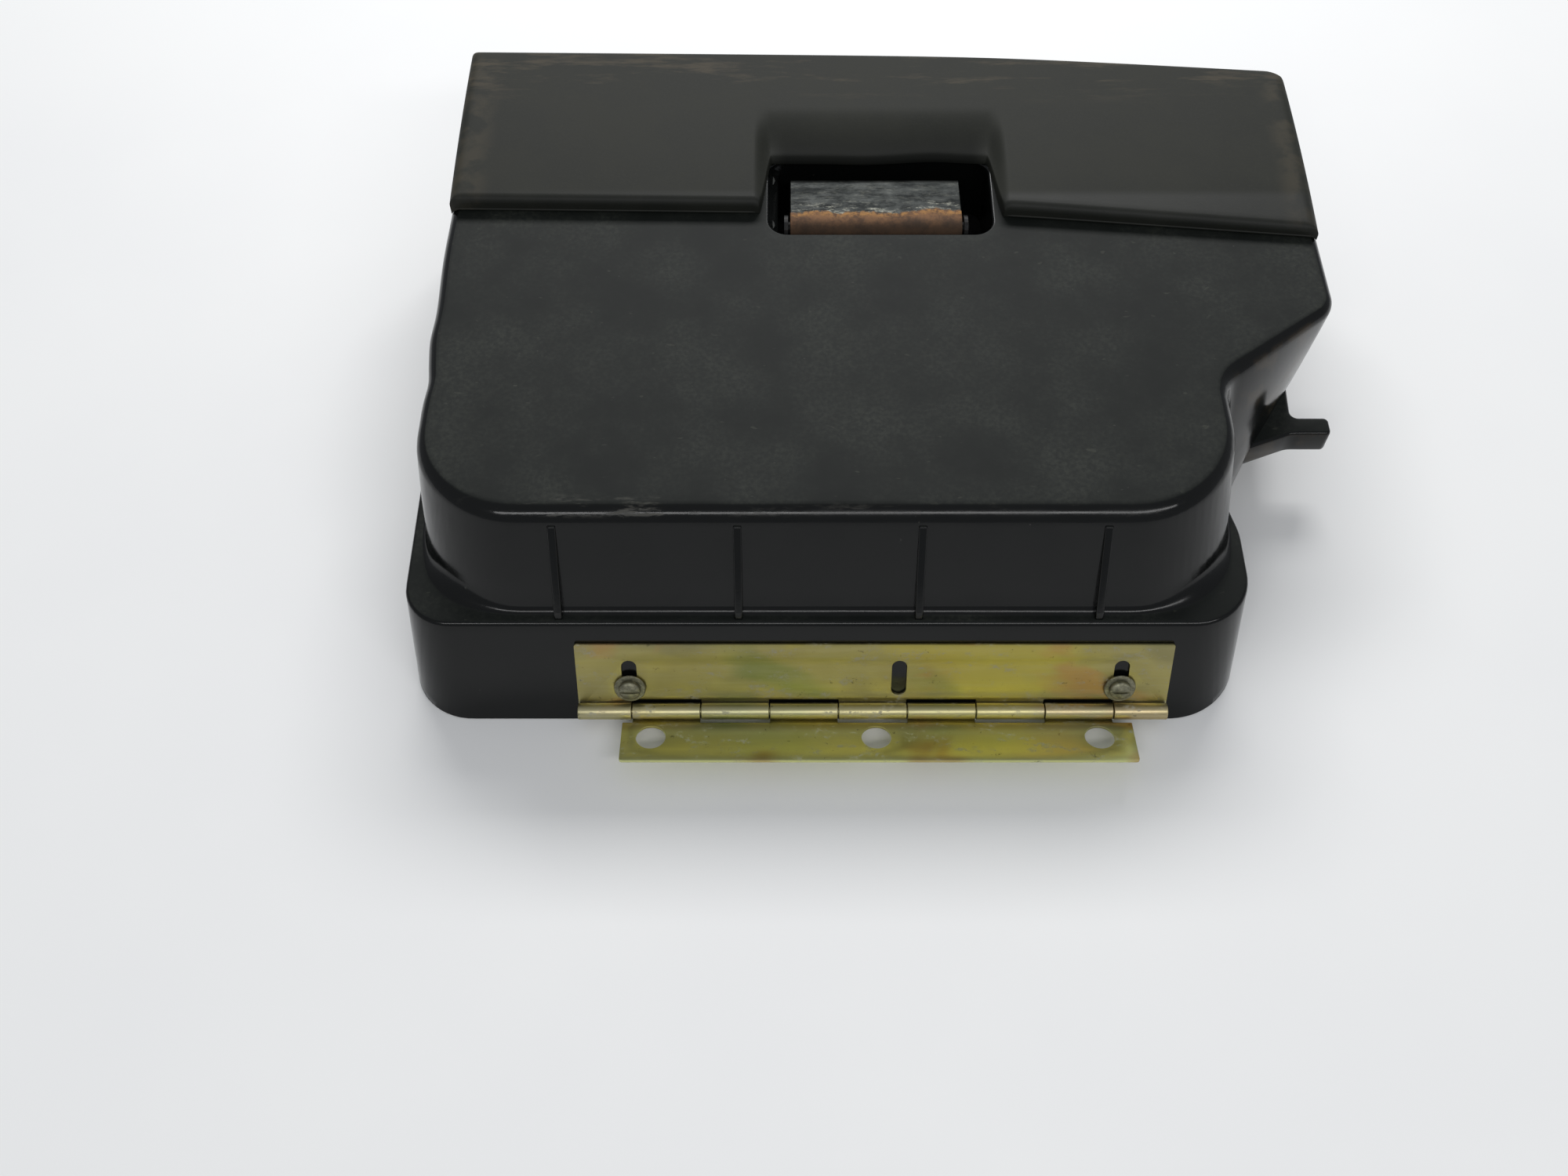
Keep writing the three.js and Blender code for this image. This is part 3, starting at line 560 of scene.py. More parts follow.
def build_tub():
    rings = tub_rings()
    faces = grid_faces(len(rings), len(RAYS), closed_rows=True, closed_columns=True)
    tub = mesh_object("tub_shell", np.concatenate(rings), faces)
    ribs = [rib(i + 1, (i - 1.5) * RIB_SPACING) for i in range(4)]
    under_face = TUB_HEIGHT - WALL
    bosses = [rod("boss", BOSS_RADIUS, x, y, POCKET_BOTTOM, under_face + 0.4) for x, y in BRACKET_BOSSES]
    arm = cut(stop_arm(), tub_form("inside", WALL - 0.5, ARM_BOTTOM - 6, ARM_TOP + 12))
    join(tub, arm, *ribs, *bosses)
    holes = []
    for x, y in BRACKET_BOSSES:
        holes.append(rod("hole", BRACKET_PILOT, x, y, POCKET_BOTTOM - 1, POCKET_BOTTOM + 11))
    for x, y in COVER_SCREWS:
        holes.append(rod("hole", COVER_SCREW_HOLE, x, y, under_face - 1, TUB_HEIGHT + 1))
    for x in (SLOTS[0], SLOTS[2]):
        holes.append(rod("hole", HINGE_SCREW_HOLE, x, SCREW_HEIGHT, -8, 1, FRONT_WALL))
    cut(tub, *holes)
    return shade(tub)


# -------- top cover

def swing(x, blend):
    """Both long edges of the cover swing towards the hinge over its right third."""
    past = x - BACK_BEND_X
    return (past + np.hypot(past, blend)) / 2


def cover_front(x, offset):
    """The lip, which runs back round the pocket and is not quite straight there."""
    lip = COVER_FRONT - COVER_FRONT_SKEW * x - COVER_FRONT_SWING * swing(x, 10)
    left = RECESS_LEFT - offset
    right = RECESS_RIGHT + offset
    notch = smooth(x, left - NOTCH_FLARE, left + NOTCH_FLARE)
    notch = notch * smooth(x, right + NOTCH_FLARE, right - NOTCH_FLARE)
    rough_edge = 1.2 * np.exp(-((x - 44) / 13) ** 2) - 0.5 * np.exp(-((x - 16) / 10) ** 2)
    return mix(lip, RECESS_SLOT + rough_edge, notch) + offset


def roll_off(distance, radius):
    """How far a rounded edge has fallen at some distance in from it."""
    inside = np.clip(distance, 0, radius)
    return radius - np.sqrt(radius ** 2 - (radius - inside) ** 2)


def cover_back(x, offset):
    """The back edge, with its two rounded corners."""
    left_corner = roll_off(x - COVER_LEFT - offset, COVER_LEFT_CORNER - offset)
    right_corner = roll_off(COVER_RIGHT - offset - x, COVER_RIGHT_CORNER - offset)
    edge = COVER_BACK - COVER_BACK_SKEW * x - COVER_BACK_SWING * swing(x, 40)
    return edge - offset - left_corner - right_corner


def cover_height(x, y):
    across = (y - 185) / 85
    crown = COVER_CROWN - 5.2 * (across - 0.6) ** 2
    left = smooth(x, RECESS_LEFT - 2 * NOTCH_FLARE, RECESS_LEFT + NOTCH_FLARE)
    right = smooth(x, RECESS_RIGHT + 2 * NOTCH_FLARE, RECESS_RIGHT - NOTCH_FLARE)
    return mix(crown, COVER_LIP, left * right * smooth(y, RECESS_START, RECESS_SLOT + 2))


def cover_solid(name, offset, bottom):
    """The cover's outer form down to a flat floor, or with an offset the form of its hollow."""
    left = COVER_LEFT + offset
    right = COVER_RIGHT - offset
    ends = np.array([0, 0.1, 0.3, 0.7, 1.2, 1.9, 2.8, 3.8])
    places = [left + ends, right - ends, np.linspace(left + COVER_ROLL, right - COVER_ROLL, 200)]
    for side in (RECESS_LEFT - offset, RECESS_RIGHT + offset):
        places.append(np.linspace(side - 6, side + 6, 36))
    xs = np.unique(np.round(np.concatenate(places), 3))
    front_steps = LIP_ROLL * (1 - np.cos(np.linspace(0, pi / 2, 8)))
    back_steps = BACK_ROLL * (1 - np.cos(np.linspace(0, pi / 2, 12)))
    rows = []
    for x in xs:
        front = cover_front(x, offset)
        back = cover_back(x, offset)
        middle = np.linspace(front + LIP_ROLL, back - BACK_ROLL, 46)[1:-1]
        y = np.concatenate([front + front_steps, middle, back - back_steps[::-1]])
        end = roll_off(np.full(len(y), min(x - left, right - x)), max(0.5, COVER_ROLL - offset)) * 0.8
        lip = roll_off(y - front, max(0.5, LIP_ROLL - offset))
        heel = roll_off(back - y, max(1, BACK_ROLL - offset))
        z = cover_height(x, y) - offset - np.maximum(np.maximum(end, lip), heel)
        rows.append(np.column_stack([np.full(len(y), x), y, z]))
    top = np.array(rows)
    count_x, count_y = top.shape[:2]
    floor = top.copy()
    floor[:, :, 2] = bottom
    points = np.concatenate([top.reshape(-1, 3), floor.reshape(-1, 3)])
    half = count_x * count_y
    upper = grid_faces(count_x, count_y)
    faces = upper + [tuple(half + i for i in face[::-1]) for face in upper]
    rim = [c * count_y for c in range(count_x)]
    rim += [(count_x - 1) * count_y + r for r in range(1, count_y)]
    rim += [c * count_y + count_y - 1 for c in range(count_x - 2, -1, -1)]
    rim += list(range(count_y - 2, 0, -1))
    faces += [(a, b, half + b, half + a) for a, b in zip(rim, rim[1:] + rim[:1])]
    return mesh_object(name, points, faces)


def lip_bead(start, end, radius=0.5):
    """A thin rounded bead along the cover's lip."""
    xs = np.linspace(start, end, 60)
    turns = np.arange(12) * 2 * pi / 12
    height = TUB_HEIGHT + FIT + radius + 0.05
    rings = []
    for i, x in enumerate(xs):
        size = radius if 0 < i < len(xs) - 1 else radius * 0.4
        y = cover_front(x, 0) + 0.1 - size * np.cos(turns)
        z = height + size * np.sin(turns)
        rings.append(np.column_stack([np.full(12, x), y, z]))
    points, faces = capped(rings)
    return mesh_object("lip_bead", points, faces)


def build_cover():
    cover = cover_solid("top_cover_shell", 0, COVER_SKIRT)
    cut(cover, cover_solid("hollow", COVER_SKIN, COVER_SKIRT - 1))
    bosses = []
    for x, y in COVER_SCREWS:
        top = cover_height(x, y) - COVER_SKIN / 2
        bosses.append(rod("boss", BOSS_RADIUS - 0.5, x, y, TUB_HEIGHT + FIT, top))
    join(cover, *bosses)
    cut(cover, tub_form("clearance", -FIT, COVER_SKIRT - 4, TUB_HEIGHT + FIT))
    for start, end in ((COVER_LEFT + 1.5, RECESS_LEFT - 4), (RECESS_RIGHT + 4, COVER_RIGHT - 1.5)):
        join(cover, lip_bead(start, end))
    cut(cover, *[rod("hole", COVER_PILOT, x, y, TUB_HEIGHT, TUB_HEIGHT + 4) for x, y in COVER_SCREWS])
    return shade(cover)


# -------- sheet metal

def ribbon(path, thickness, trim=0.0):
    """Closed outline of a bent strip of sheet, from the path of its middle. Trim thins it all round."""
    tangent = np.gradient(path)
    tangent = tangent / abs(tangent)
    half = thickness / 2 - trim
    start = [path[0] + tangent[0] * (trim + half * (1 - sin(a)) * 0.4) + 1j * tangent[0] * half * cos(a)
             for a in np.linspace(pi, 0, 7)]
    end = [path[-1] - tangent[-1] * (trim + half * (1 - sin(a)) * 0.4) + 1j * tangent[-1] * half * cos(a)
           for a in np.linspace(0, pi, 7)]
    left = path[1:-1] + 1j * tangent[1:-1] * half
    right = path[1:-1] - 1j * tangent[1:-1] * half
    return np.concatenate([start, left, end, right[::-1]])


def drawn_along_x(name, outline_at, left, right, bevel=0.3, place=UPRIGHT):
    """A YZ outline drawn along X, with both ends bevelled; outline_at(trim) gives it thinned all round."""
    rings = []
    for x, inwards in bevelled(left, right, bevel):
        outline = outline_at(inwards)
        rings.append(np.column_stack([np.full(len(outline), x), outline.real, outline.imag]))
    points, faces = capped(rings)
    return mesh_object(name, points, faces, place)


def arc(centre, radius, start, end, count=40):
    return centre + radius * np.exp(1j * np.linspace(start, end, count))


def sheet_piece(name, outline, holes, thickness, near, place, bevel=0.18):
    """A flat sheet with holes, lying in its local XY plane from the height near, with bevelled edges."""
    curve = bpy.data.curves.new(name, "CURVE")
    curve.dimensions = "2D"
    curve.fill_mode = "BOTH"
    for ring in [outline, *holes]:
        spline = curve.splines.new("POLY")
        spline.points.add(len(ring) - 1)
        for point, value in zip(spline.points, ring):
            point.co = (value.real, value.imag, 0, 1)
        spline.use_cyclic_u = True
    curve.extrude = thickness / 2 - bevel
    curve.bevel_depth = bevel
    curve.bevel_resolution = 1
    curve.offset = -bevel
    carrier = in_scene(name, curve)
    flat = baked(carrier)
    bpy.data.objects.remove(carrier)
    points = np.array([v.co for v in flat.vertices]) + (0, 0, near + thickness / 2)
    faces = [tuple(p.vertices) for p in flat.polygons]
    piece = mesh_object(name, points, faces, place)
    tidy(piece.data, 2e-5)
    return piece


# -------- piano hinge

def knuckle_spans():
    ends = [HINGE_LEFT] + [HINGE_LEFT + END_KNUCKLE + i * KNUCKLE_PITCH for i in range(8)]
    ends.append(HINGE_LEFT + 2 * END_KNUCKLE + 7 * KNUCKLE_PITCH)
    return [(a + 0.2, b - 0.2) for a, b in zip(ends, ends[1:])]


SPANS = knuckle_spans()
UPPER_SPANS = SPANS[::2]
LOWER_SPANS = SPANS[1::2]


def knuckle(span, side, place):
    """Leaf sheet rolled round the pin. Side -1 rolls up from the wall, +1 down from above."""
    middle = (KNUCKLE_RADIUS + KNUCKLE_BORE) / 2
    path = arc(0, middle, side * pi / 2, side * (pi / 2 + radians(296)), 44)
    thickness = KNUCKLE_RADIUS - KNUCKLE_BORE
    return drawn_along_x("knuckle", lambda trim: ribbon(path, thickness, trim), *span, place=place)


def leaf_outline(left, right, far, own):
    """The edge next to the pin steps out to the leaf's own knuckles and back between them."""
    clear = KNUCKLE_RADIUS + 0.8
    steps = []
    for start, end in own:
        steps += [complex(start, clear), complex(start, -0.4), complex(end, -0.4), complex(end, clear)]
    edge = [complex(left, clear), *steps] if left < own[0][0] else steps[1:]
    edge = [*edge, complex(right, clear)] if right > own[-1][1] else edge[:-1]
    corners = [(p.real, p.imag, 0.3) for p in edge] + [(right, far, 1.0), (left, far, 1.0)]
    return rounded(corners, 4)


def hinge_leaf(name, left, right, far, own, side, holes, place):
    """A flat leaf with its knuckles; side says on which face of the pin it lies."""
    near = -KNUCKLE_RADIUS if side < 0 else KNUCKLE_RADIUS - LEAF_THICKNESS
    outline = leaf_outline(left, right, far, own)
    leaf = sheet_piece(name, outline, holes, LEAF_THICKNESS, near, place)
    join(leaf, *[knuckle(span, side, place) for span in own])
    return shade(leaf, 35)


def slot_outline(x):
    low, high = (height - HINGE_HEIGHT for height in SLOT_RANGE)
    corners = rectangle(x - SLOT_WIDTH / 2, x + SLOT_WIDTH / 2, low, high, SLOT_WIDTH / 2 - 0.02)
    return rounded(corners, 11)[::-1]


def build_hinge():
    left = UPPER_SPANS[0][0]
    right = UPPER_SPANS[-1][1]
    far = UPPER_LEAF_TOP - HINGE_HEIGHT
    slots = [slot_outline(x) for x in SLOTS]
    upper = hinge_leaf("upper_leaf_sheet", left, right, far, UPPER_SPANS, -1, slots, UPPER_LEAF)
    circle = MOUNTING_HOLE_RADIUS * np.exp(-2j * pi * np.arange(48) / 48)
    holes = [complex(x, MOUNTING_HOLE_REACH) + circle for x in MOUNTING_HOLES]
    lower = hinge_leaf(
        "lower_leaf_sheet", LOWER_LEAF_LEFT, LOWER_LEAF_RIGHT, LOWER_LEAF_REACH,
        LOWER_SPANS, 1, holes, LOWER_LEAF,
    )
    return upper, lower


# -------- latch lever

def build_lever():
    """Sheet steel rolled round the pivot, falling slightly to the rear, with a window for the spring."""
    pivot = complex(PIVOT_Y, PIVOT_Z)
    middle = ROLL_RADIUS - STEEL / 2
    top = pi / 2 - atan2(LEVER_DROP, LEVER_BACK - PIVOT_Y)
    roll = arc(pivot, middle, top + radians(330), top, 70)
    along = complex(sin(top), -cos(top))
    rear = roll[-1] + along * (LEVER_BACK - roll[-1].real) / along.real
    path = np.concatenate([roll, mix(roll[-1], rear, np.linspace(0, 1, 12)[1:])])
    lever = drawn_along_x(
        "lever_plate", lambda trim: ribbon(path, STEEL, trim), LEVER_LEFT, LEVER_RIGHT, 0.35,
    )
    front = PIVOT_Y - ROLL_RADIUS + 1
    back = PIVOT_Y + ROLL_RADIUS - 0.5
    window = rounded(rectangle(*SPRING_WINDOW, front, back, 1))
    cut(lever, extruded("window", window, PIVOT_Z - ROLL_RADIUS - 1, PIVOT_Z - 0.5, 0.1))
    return shade(lever, 35)


# -------- screws, washers, pins and bushes

def along_x(x, y, z):
    """A frame whose local Z runs along X from a point."""
    return Matrix.Translation((x, y, z)) @ Matrix.Rotation(pi / 2, 4, "Y")


def pan_screw(name, length, shank, head, place):
    """A domed, slotted head above z = 0 with a threaded shank below."""
    height = head * 0.6
    rim = height * 0.4
    dome = [(head * cos(t), rim + (height - rim) * sin(t)) for t in np.linspace(0, pi / 2, 10)]
    thread = []
    for i in range(int((length - 3) / THREAD_PITCH)):
        z = -length + 1.2 + i * THREAD_PITCH
        thread += [(shank - THREAD_DEPTH, z), (shank, z + THREAD_PITCH / 2)]
    profile = [(0, -length), (shank * 0.7, -length), *thread, (shank, -1.2), (shank, 0)]
    profile += [(head - 0.15, 0), (head, 0.15), *dome[:-1], (0, height)]
    screw = turned_piece(name, profile, place)
    slot_box = box_between((-head - 1, -0.5, height * 0.6), (head + 1, 0.5, height + 1))
    slot = mesh_object("slot", *slot_box, place)
    cut(screw, slot)
    return shade(screw)


def box_between(low, high):
    """Points and faces of a box between two corners."""
    left, front, bottom = low
    right, back, top = high
    plan = [(left, front), (right, front), (right, back), (left, back)]
    return capped([[(x, y, z) for x, y in plan] for z in (bottom, top)])


def washer(name, bore, outer, thickness, edge, place):
    """A ring with rounded rims that stands on z = 0."""
    profile = [(bore + edge, 0), (outer - edge, 0), (outer, edge), (outer, thickness - edge)]
    profile += [(outer - edge, thickness), (bore + edge, thickness), (bore, thickness - edge), (bore, edge)]
    return shade(turned_piece(name, profile, place, closed=True))


def pin(name, radius, left, right, place):
    """A plain pin along X whose ends are chamfered."""
    edge = radius * 0.15
    profile = [(0, left), (radius - edge, left), (radius, left + edge)]
    profile += [(radius, right - edge), (radius - edge, right), (0, right)]
    piece = turned_piece(name, profile, place @ Matrix.Rotation(pi / 2, 4, "Y"))
    return shade(piece)


def hex_nut(name, across_flats, bore, height, place):
    radius = across_flats / 2 / cos(radians(30))
    outline = radius * np.exp(2j * pi * np.arange(6) / 6)
    nut = extruded(name, outline, 0, height, 0.35, place)
    cut(nut, rod("bore", bore, 0, 0, -1, height + 1, place))
    return shade(nut)


def build_hardware():
    """Turned pieces as (piece, slot, CAD node)."""
    made = []

    def add(piece, slot, node):
        made.append((piece, slot, node))

    def drive_up(kind, places, seat, size):
        """Self-tapping screws that point up from a seat, numbered from 1."""
        for i, (x, y) in enumerate(places, 1):
            place = Matrix.Translation((x, y, seat)) @ Matrix.Rotation(pi, 4, "X")
            add(pan_screw(f"fine_{kind}_{i}", *size, place), "screw_steel", f"{kind}_{i}")

    drive_up("cover_screw", COVER_SCREWS, TUB_HEIGHT - WALL - 0.1, COVER_SCREW)
    drive_up("bracket_screw", BRACKET_BOSSES, POCKET_BOTTOM - FIT - STEEL - 0.1, BRACKET_SCREW)
    inside = -WALL * cos(WALL_TILT)
    leaf_top = LEAF_GAP + LEAF_THICKNESS
    shank = HINGE_SCREW[1]
    for side, x in (("left", SLOTS[0]), ("right", SLOTS[2])):
        def on_wall(height):
            return FRONT_WALL @ Matrix.Translation((x, SCREW_HEIGHT, height))

        outer = washer(f"fine_washer_{side}", shank + 0.2, *HINGE_WASHER, on_wall(leaf_top + 0.1))
        screw = pan_screw(f"fine_screw_{side}", *HINGE_SCREW, on_wall(leaf_top + 1.2))
        inner = washer(f"fine_inner_washer_{side}", shank + 0.2, *INNER_WASHER, on_wall(inside - 1))
        nut = hex_nut(f"fine_nut_{side}", NUT_FLATS, shank + 0.1, NUT_HEIGHT, on_wall(inside - 4.3))
        for piece, kind in ((outer, "washer"), (screw, "screw"), (inner, "inner_washer"), (nut, "nut")):
            add(piece, "screw_steel", f"hinge_{kind}_{side}")
    at_pivot = Matrix.Translation((0, PIVOT_Y, PIVOT_Z))
    add(pin("fine_pivot_pin", PIVOT_PIN_RADIUS, LEVER_LEFT - 2.2, LEVER_RIGHT + 3, at_pivot),
        "dark_steel", "latch_pivot_pin")
    add(pin("fine_hinge_pin", HINGE_PIN_RADIUS, HINGE_LEFT + 0.3, SPANS[-1][1] - 0.1, UPPER_LEAF),
        "yellow_zinc", "hinge_pin")
    for side, x in (("left", LEVER_LEFT + 0.5), ("right", LEVER_RIGHT - 0.5 - BUSH_LENGTH)):
        place = along_x(x, PIVOT_Y, PIVOT_Z)
        outer = ROLL_RADIUS - STEEL - 0.1
        bush = washer(f"fine_bush_{side}", PIVOT_PIN_RADIUS + 0.1, outer, BUSH_LENGTH, 0.2, place)
        add(bush, "nylon", f"latch_bush_{side}")
    return made


# -------- materials

class Surface:
    """A principled material with short calls for its procedural nodes."""

    def __init__(self, name, **settings):
        self.material = bpy.data.materials.new(name)
        self.material.use_nodes = True
        self.tree = self.material.node_tree
        self.shader = self.tree.nodes["Principled BSDF"]
        for key, value in settings.items():
            self.shader.inputs[key].default_value = value
        self.place = self.tree.nodes.new("ShaderNodeTexCoord")

    def node(self, kind, **inputs):
        made = self.tree.nodes.new("ShaderNode" + kind)
        for key, value in inputs.items():
            self.feed(made.inputs[key], value)
        return made

    def feed(self, socket, value):
        if isinstance(value, bpy.types.NodeSocket):
            self.tree.links.new(value, socket)
        else:
            socket.default_value = value

    def noise(self, size, detail=4.0, roughness=0.55, stretch=(1, 1, 1), distortion=0.0, shift=0.0):
        """Noise whose blotches are about as large as size, in millimetres."""
        mapping = self.node("Mapping", Vector=self.place.outputs["Object"])
        mapping.inputs["Scale"].default_value = tuple(1000 / size / s for s in stretch)
        mapping.inputs["Location"].default_value = (shift, shift * 1.7, shift * 0.6)
        made = self.node("TexNoise", Vector=mapping.outputs[0], Scale=1.0, Detail=detail,
                         Roughness=roughness, Distortion=distortion)
        return made.outputs["Fac"]

    def ramp(self, value, low, high, start=0.0, end=1.0):
        made = self.node("MapRange", Value=value)
        made.interpolation_type = "SMOOTHSTEP"
        for key, number in (("From Min", low), ("From Max", high), ("To Min", start), ("To Max", end)):
            made.inputs[key].default_value = number
        return made.outputs["Result"]

    def axis(self, name, source="Object"):
        made = self.node("SeparateXYZ", Vector=self.place.outputs[source])
        return made.outputs[name]

    def band(self, name, low, high, soft):
        """1 between two places along an axis, in millimetres of the drawing frame."""
        shift = ORIGIN["XYZ".index(name)] / MM
        along = self.axis(name)
        rise = self.ramp(along, (low + shift - soft) * MM, (low + shift + soft) * MM)
        fall = self.ramp(along, (high + shift - soft) * MM, (high + shift + soft) * MM, 1, 0)
        return self.times(rise, fall)

    def sum(self, a, b, operation="ADD"):
        made = self.node("Math")
        made.operation = operation
        self.feed(made.inputs[0], a)
        self.feed(made.inputs[1], b)
        made.use_clamp = operation != "SUBTRACT"
        return made.outputs[0]

    def times(self, *values):
        result = values[0]
        for value in values[1:]:
            result = self.sum(result, value, "MULTIPLY")
        return result

    def blend(self, amount, a, b):
        made = self.tree.nodes.new("ShaderNodeMix")
        made.data_type = "RGBA"
        self.feed(made.inputs["Factor"], amount)
        self.feed(made.inputs["A"], a if isinstance(a, bpy.types.NodeSocket) else (*a, 1))
        self.feed(made.inputs["B"], b if isinstance(b, bpy.types.NodeSocket) else (*b, 1))
        return made.outputs["Result"]

    def level(self, amount, a, b):
        """A number that goes from a to b."""
        made = self.tree.nodes.new("ShaderNodeMix")
        self.feed(made.inputs["Factor"], amount)
        self.feed(made.inputs["A"], a)
        self.feed(made.inputs["B"], b)
        return made.outputs["Result"]

    def finish(self, color, roughness=None, metallic=None, height=None, relief=0.05):
        """Height is 0 to 1, and relief is its depth in millimetres."""
        self.feed(self.shader.inputs["Base Color"], color)
        if roughness is not None:
            self.feed(self.shader.inputs["Roughness"], roughness)
        if metallic is not None:
            self.feed(self.shader.inputs["Metallic"], metallic)
        if height is not None:
            bump = self.node("Bump", Height=height, Strength=1.0, Distance=relief * MM)
            self.feed(self.shader.inputs["Normal"], bump.outputs[0])
        return self.material


def black_plastic():
    """Glossy moulded plastic, satin and dusty on the face, scuffed along the front edge."""
    s = Surface("black_plastic")
    facing_up = s.ramp(s.axis("Z", "Normal"), 0.93, 0.995)
    mottle = s.noise(38, 6, 0.6)
    fine = s.noise(1.6, 3, 0.6)
    dust = s.times(facing_up, s.ramp(mottle, 0.35, 0.75), s.ramp(fine, 0.3, 0.8))
    wall = (0.0030, 0.0034, 0.0032)
    face = s.blend(s.ramp(mottle, 0.3, 0.7), (0.0052, 0.0068, 0.0056), (0.0086, 0.0106, 0.0090))
    color = s.blend(facing_up, wall, face)
    color = s.blend(s.times(dust, 0.55), color, (0.042, 0.046, 0.036))
    specks = s.times(facing_up, s.ramp(s.noise(2.6, 2, 0.5, (2, 1, 1), 0.3, 9.0), 0.70, 0.76))
    color = s.blend(s.times(specks, 0.25), color, (0.075, 0.078, 0.060))
    edge = s.times(s.band("Z", TUB_HEIGHT - 2.5, TUB_HEIGHT + 1, 0.8), s.band("Y", 34, 46, 2.5))
    edge = s.times(edge, s.level(s.band("X", -115, -45, 8), 0.25, 1.0))
    worn = s.times(
        edge,
        s.ramp(s.noise(7, 5, 0.7, (6, 1, 1)), 0.50, 0.64),
        s.ramp(s.noise(1.1, 3, stretch=(4, 1, 1)), 0.4, 0.6),
    )
    color = s.blend(s.times(worn, 0.5), color, (0.14, 0.135, 0.115))
    nicks = s.ramp(s.noise(3.2, 2, 0.5, shift=4.0), 0.76, 0.80)
    color = s.blend(s.times(nicks, 0.25), color, (0.10, 0.10, 0.085))
    grime = s.times(s.band("X", 150, 200, 4), s.band("Y", 95, 145, 6), s.ramp(s.noise(14, 4), 0.45, 0.62))
    grime = s.times(grime, s.ramp(s.axis("Z", "Normal"), 0.5, 0.8, 1, 0))
    color = s.blend(s.times(grime, 0.5), color, (0.050, 0.036, 0.020))
    gloss = s.level(s.ramp(s.noise(22, 5), 0.35, 0.7), 0.12, 0.20)
    rough = s.level(facing_up, gloss, s.level(mottle, 0.58, 0.68))
    rough = s.level(worn, rough, 0.6)
    s.feed(s.shader.inputs["Specular IOR Level"], s.level(facing_up, 0.30, s.level(mottle, 0.15, 0.27)))
    height = s.sum(s.times(s.noise(60, 2), 0.8), s.times(fine, 0.06))
    return s.finish(color, rough, None, height, 0.28)


def cover_plastic():
    """The same plastic, duller, with brown rubs along its back edge, painted shade in the recess before the
    slot and a little painted shade along the lip.
    """
    s = Surface("cover_plastic")
    mottle = s.noise(30, 6, 0.62)
    fine = s.noise(0.9, 3, 0.6)
    color = s.blend(s.ramp(mottle, 0.3, 0.7), (0.0135, 0.0146, 0.0108), (0.0205, 0.0214, 0.0162))
    color = s.blend(s.times(s.ramp(fine, 0.45, 0.8), 0.3), color, (0.028, 0.028, 0.023))
    rubs = s.times(s.band("Y", 246, 285, 9), s.ramp(s.noise(7, 5, 0.7, (6, 1, 1)), 0.50, 0.68))
    color = s.blend(s.times(rubs, 0.45), color, (0.095, 0.075, 0.048))
    ends = s.sum(s.band("X", -152, -136, 5), s.band("X", 182, 196, 4))
    ends = s.times(ends, s.ramp(s.noise(12, 4), 0.42, 0.62))
    color = s.blend(s.times(ends, 0.35), color, (0.075, 0.062, 0.040))
    # Painted shade: the recess in front of the slot is darkened nearly to black and its specular turned
    # down.
    recess_shade = s.times(
        s.band("X", RECESS_LEFT + 4, RECESS_RIGHT - 4, 5),
        s.band("Y", RECESS_SLOT - 8, RECESS_SLOT + 9, 9),
    )
    color = s.blend(s.times(recess_shade, 0.8), color, (0.0040, 0.0045, 0.0040))
    # Painted shade: a slightly darker band where the lip rolls down.
    lip = s.band("Y", 160, 189, 2.5)
    color = s.blend(s.times(lip, 0.35), color, (0.012, 0.013, 0.013))
    rough = s.level(mottle, 0.60, 0.70)
    rough = s.level(lip, rough, 0.5)
    s.feed(s.shader.inputs["Specular IOR Level"], s.level(recess_shade, 0.21, 0.09))
    height = s.sum(s.times(s.noise(45, 2), 0.8), s.times(fine, 0.08))
    return s.finish(color, rough, None, height, 0.25)


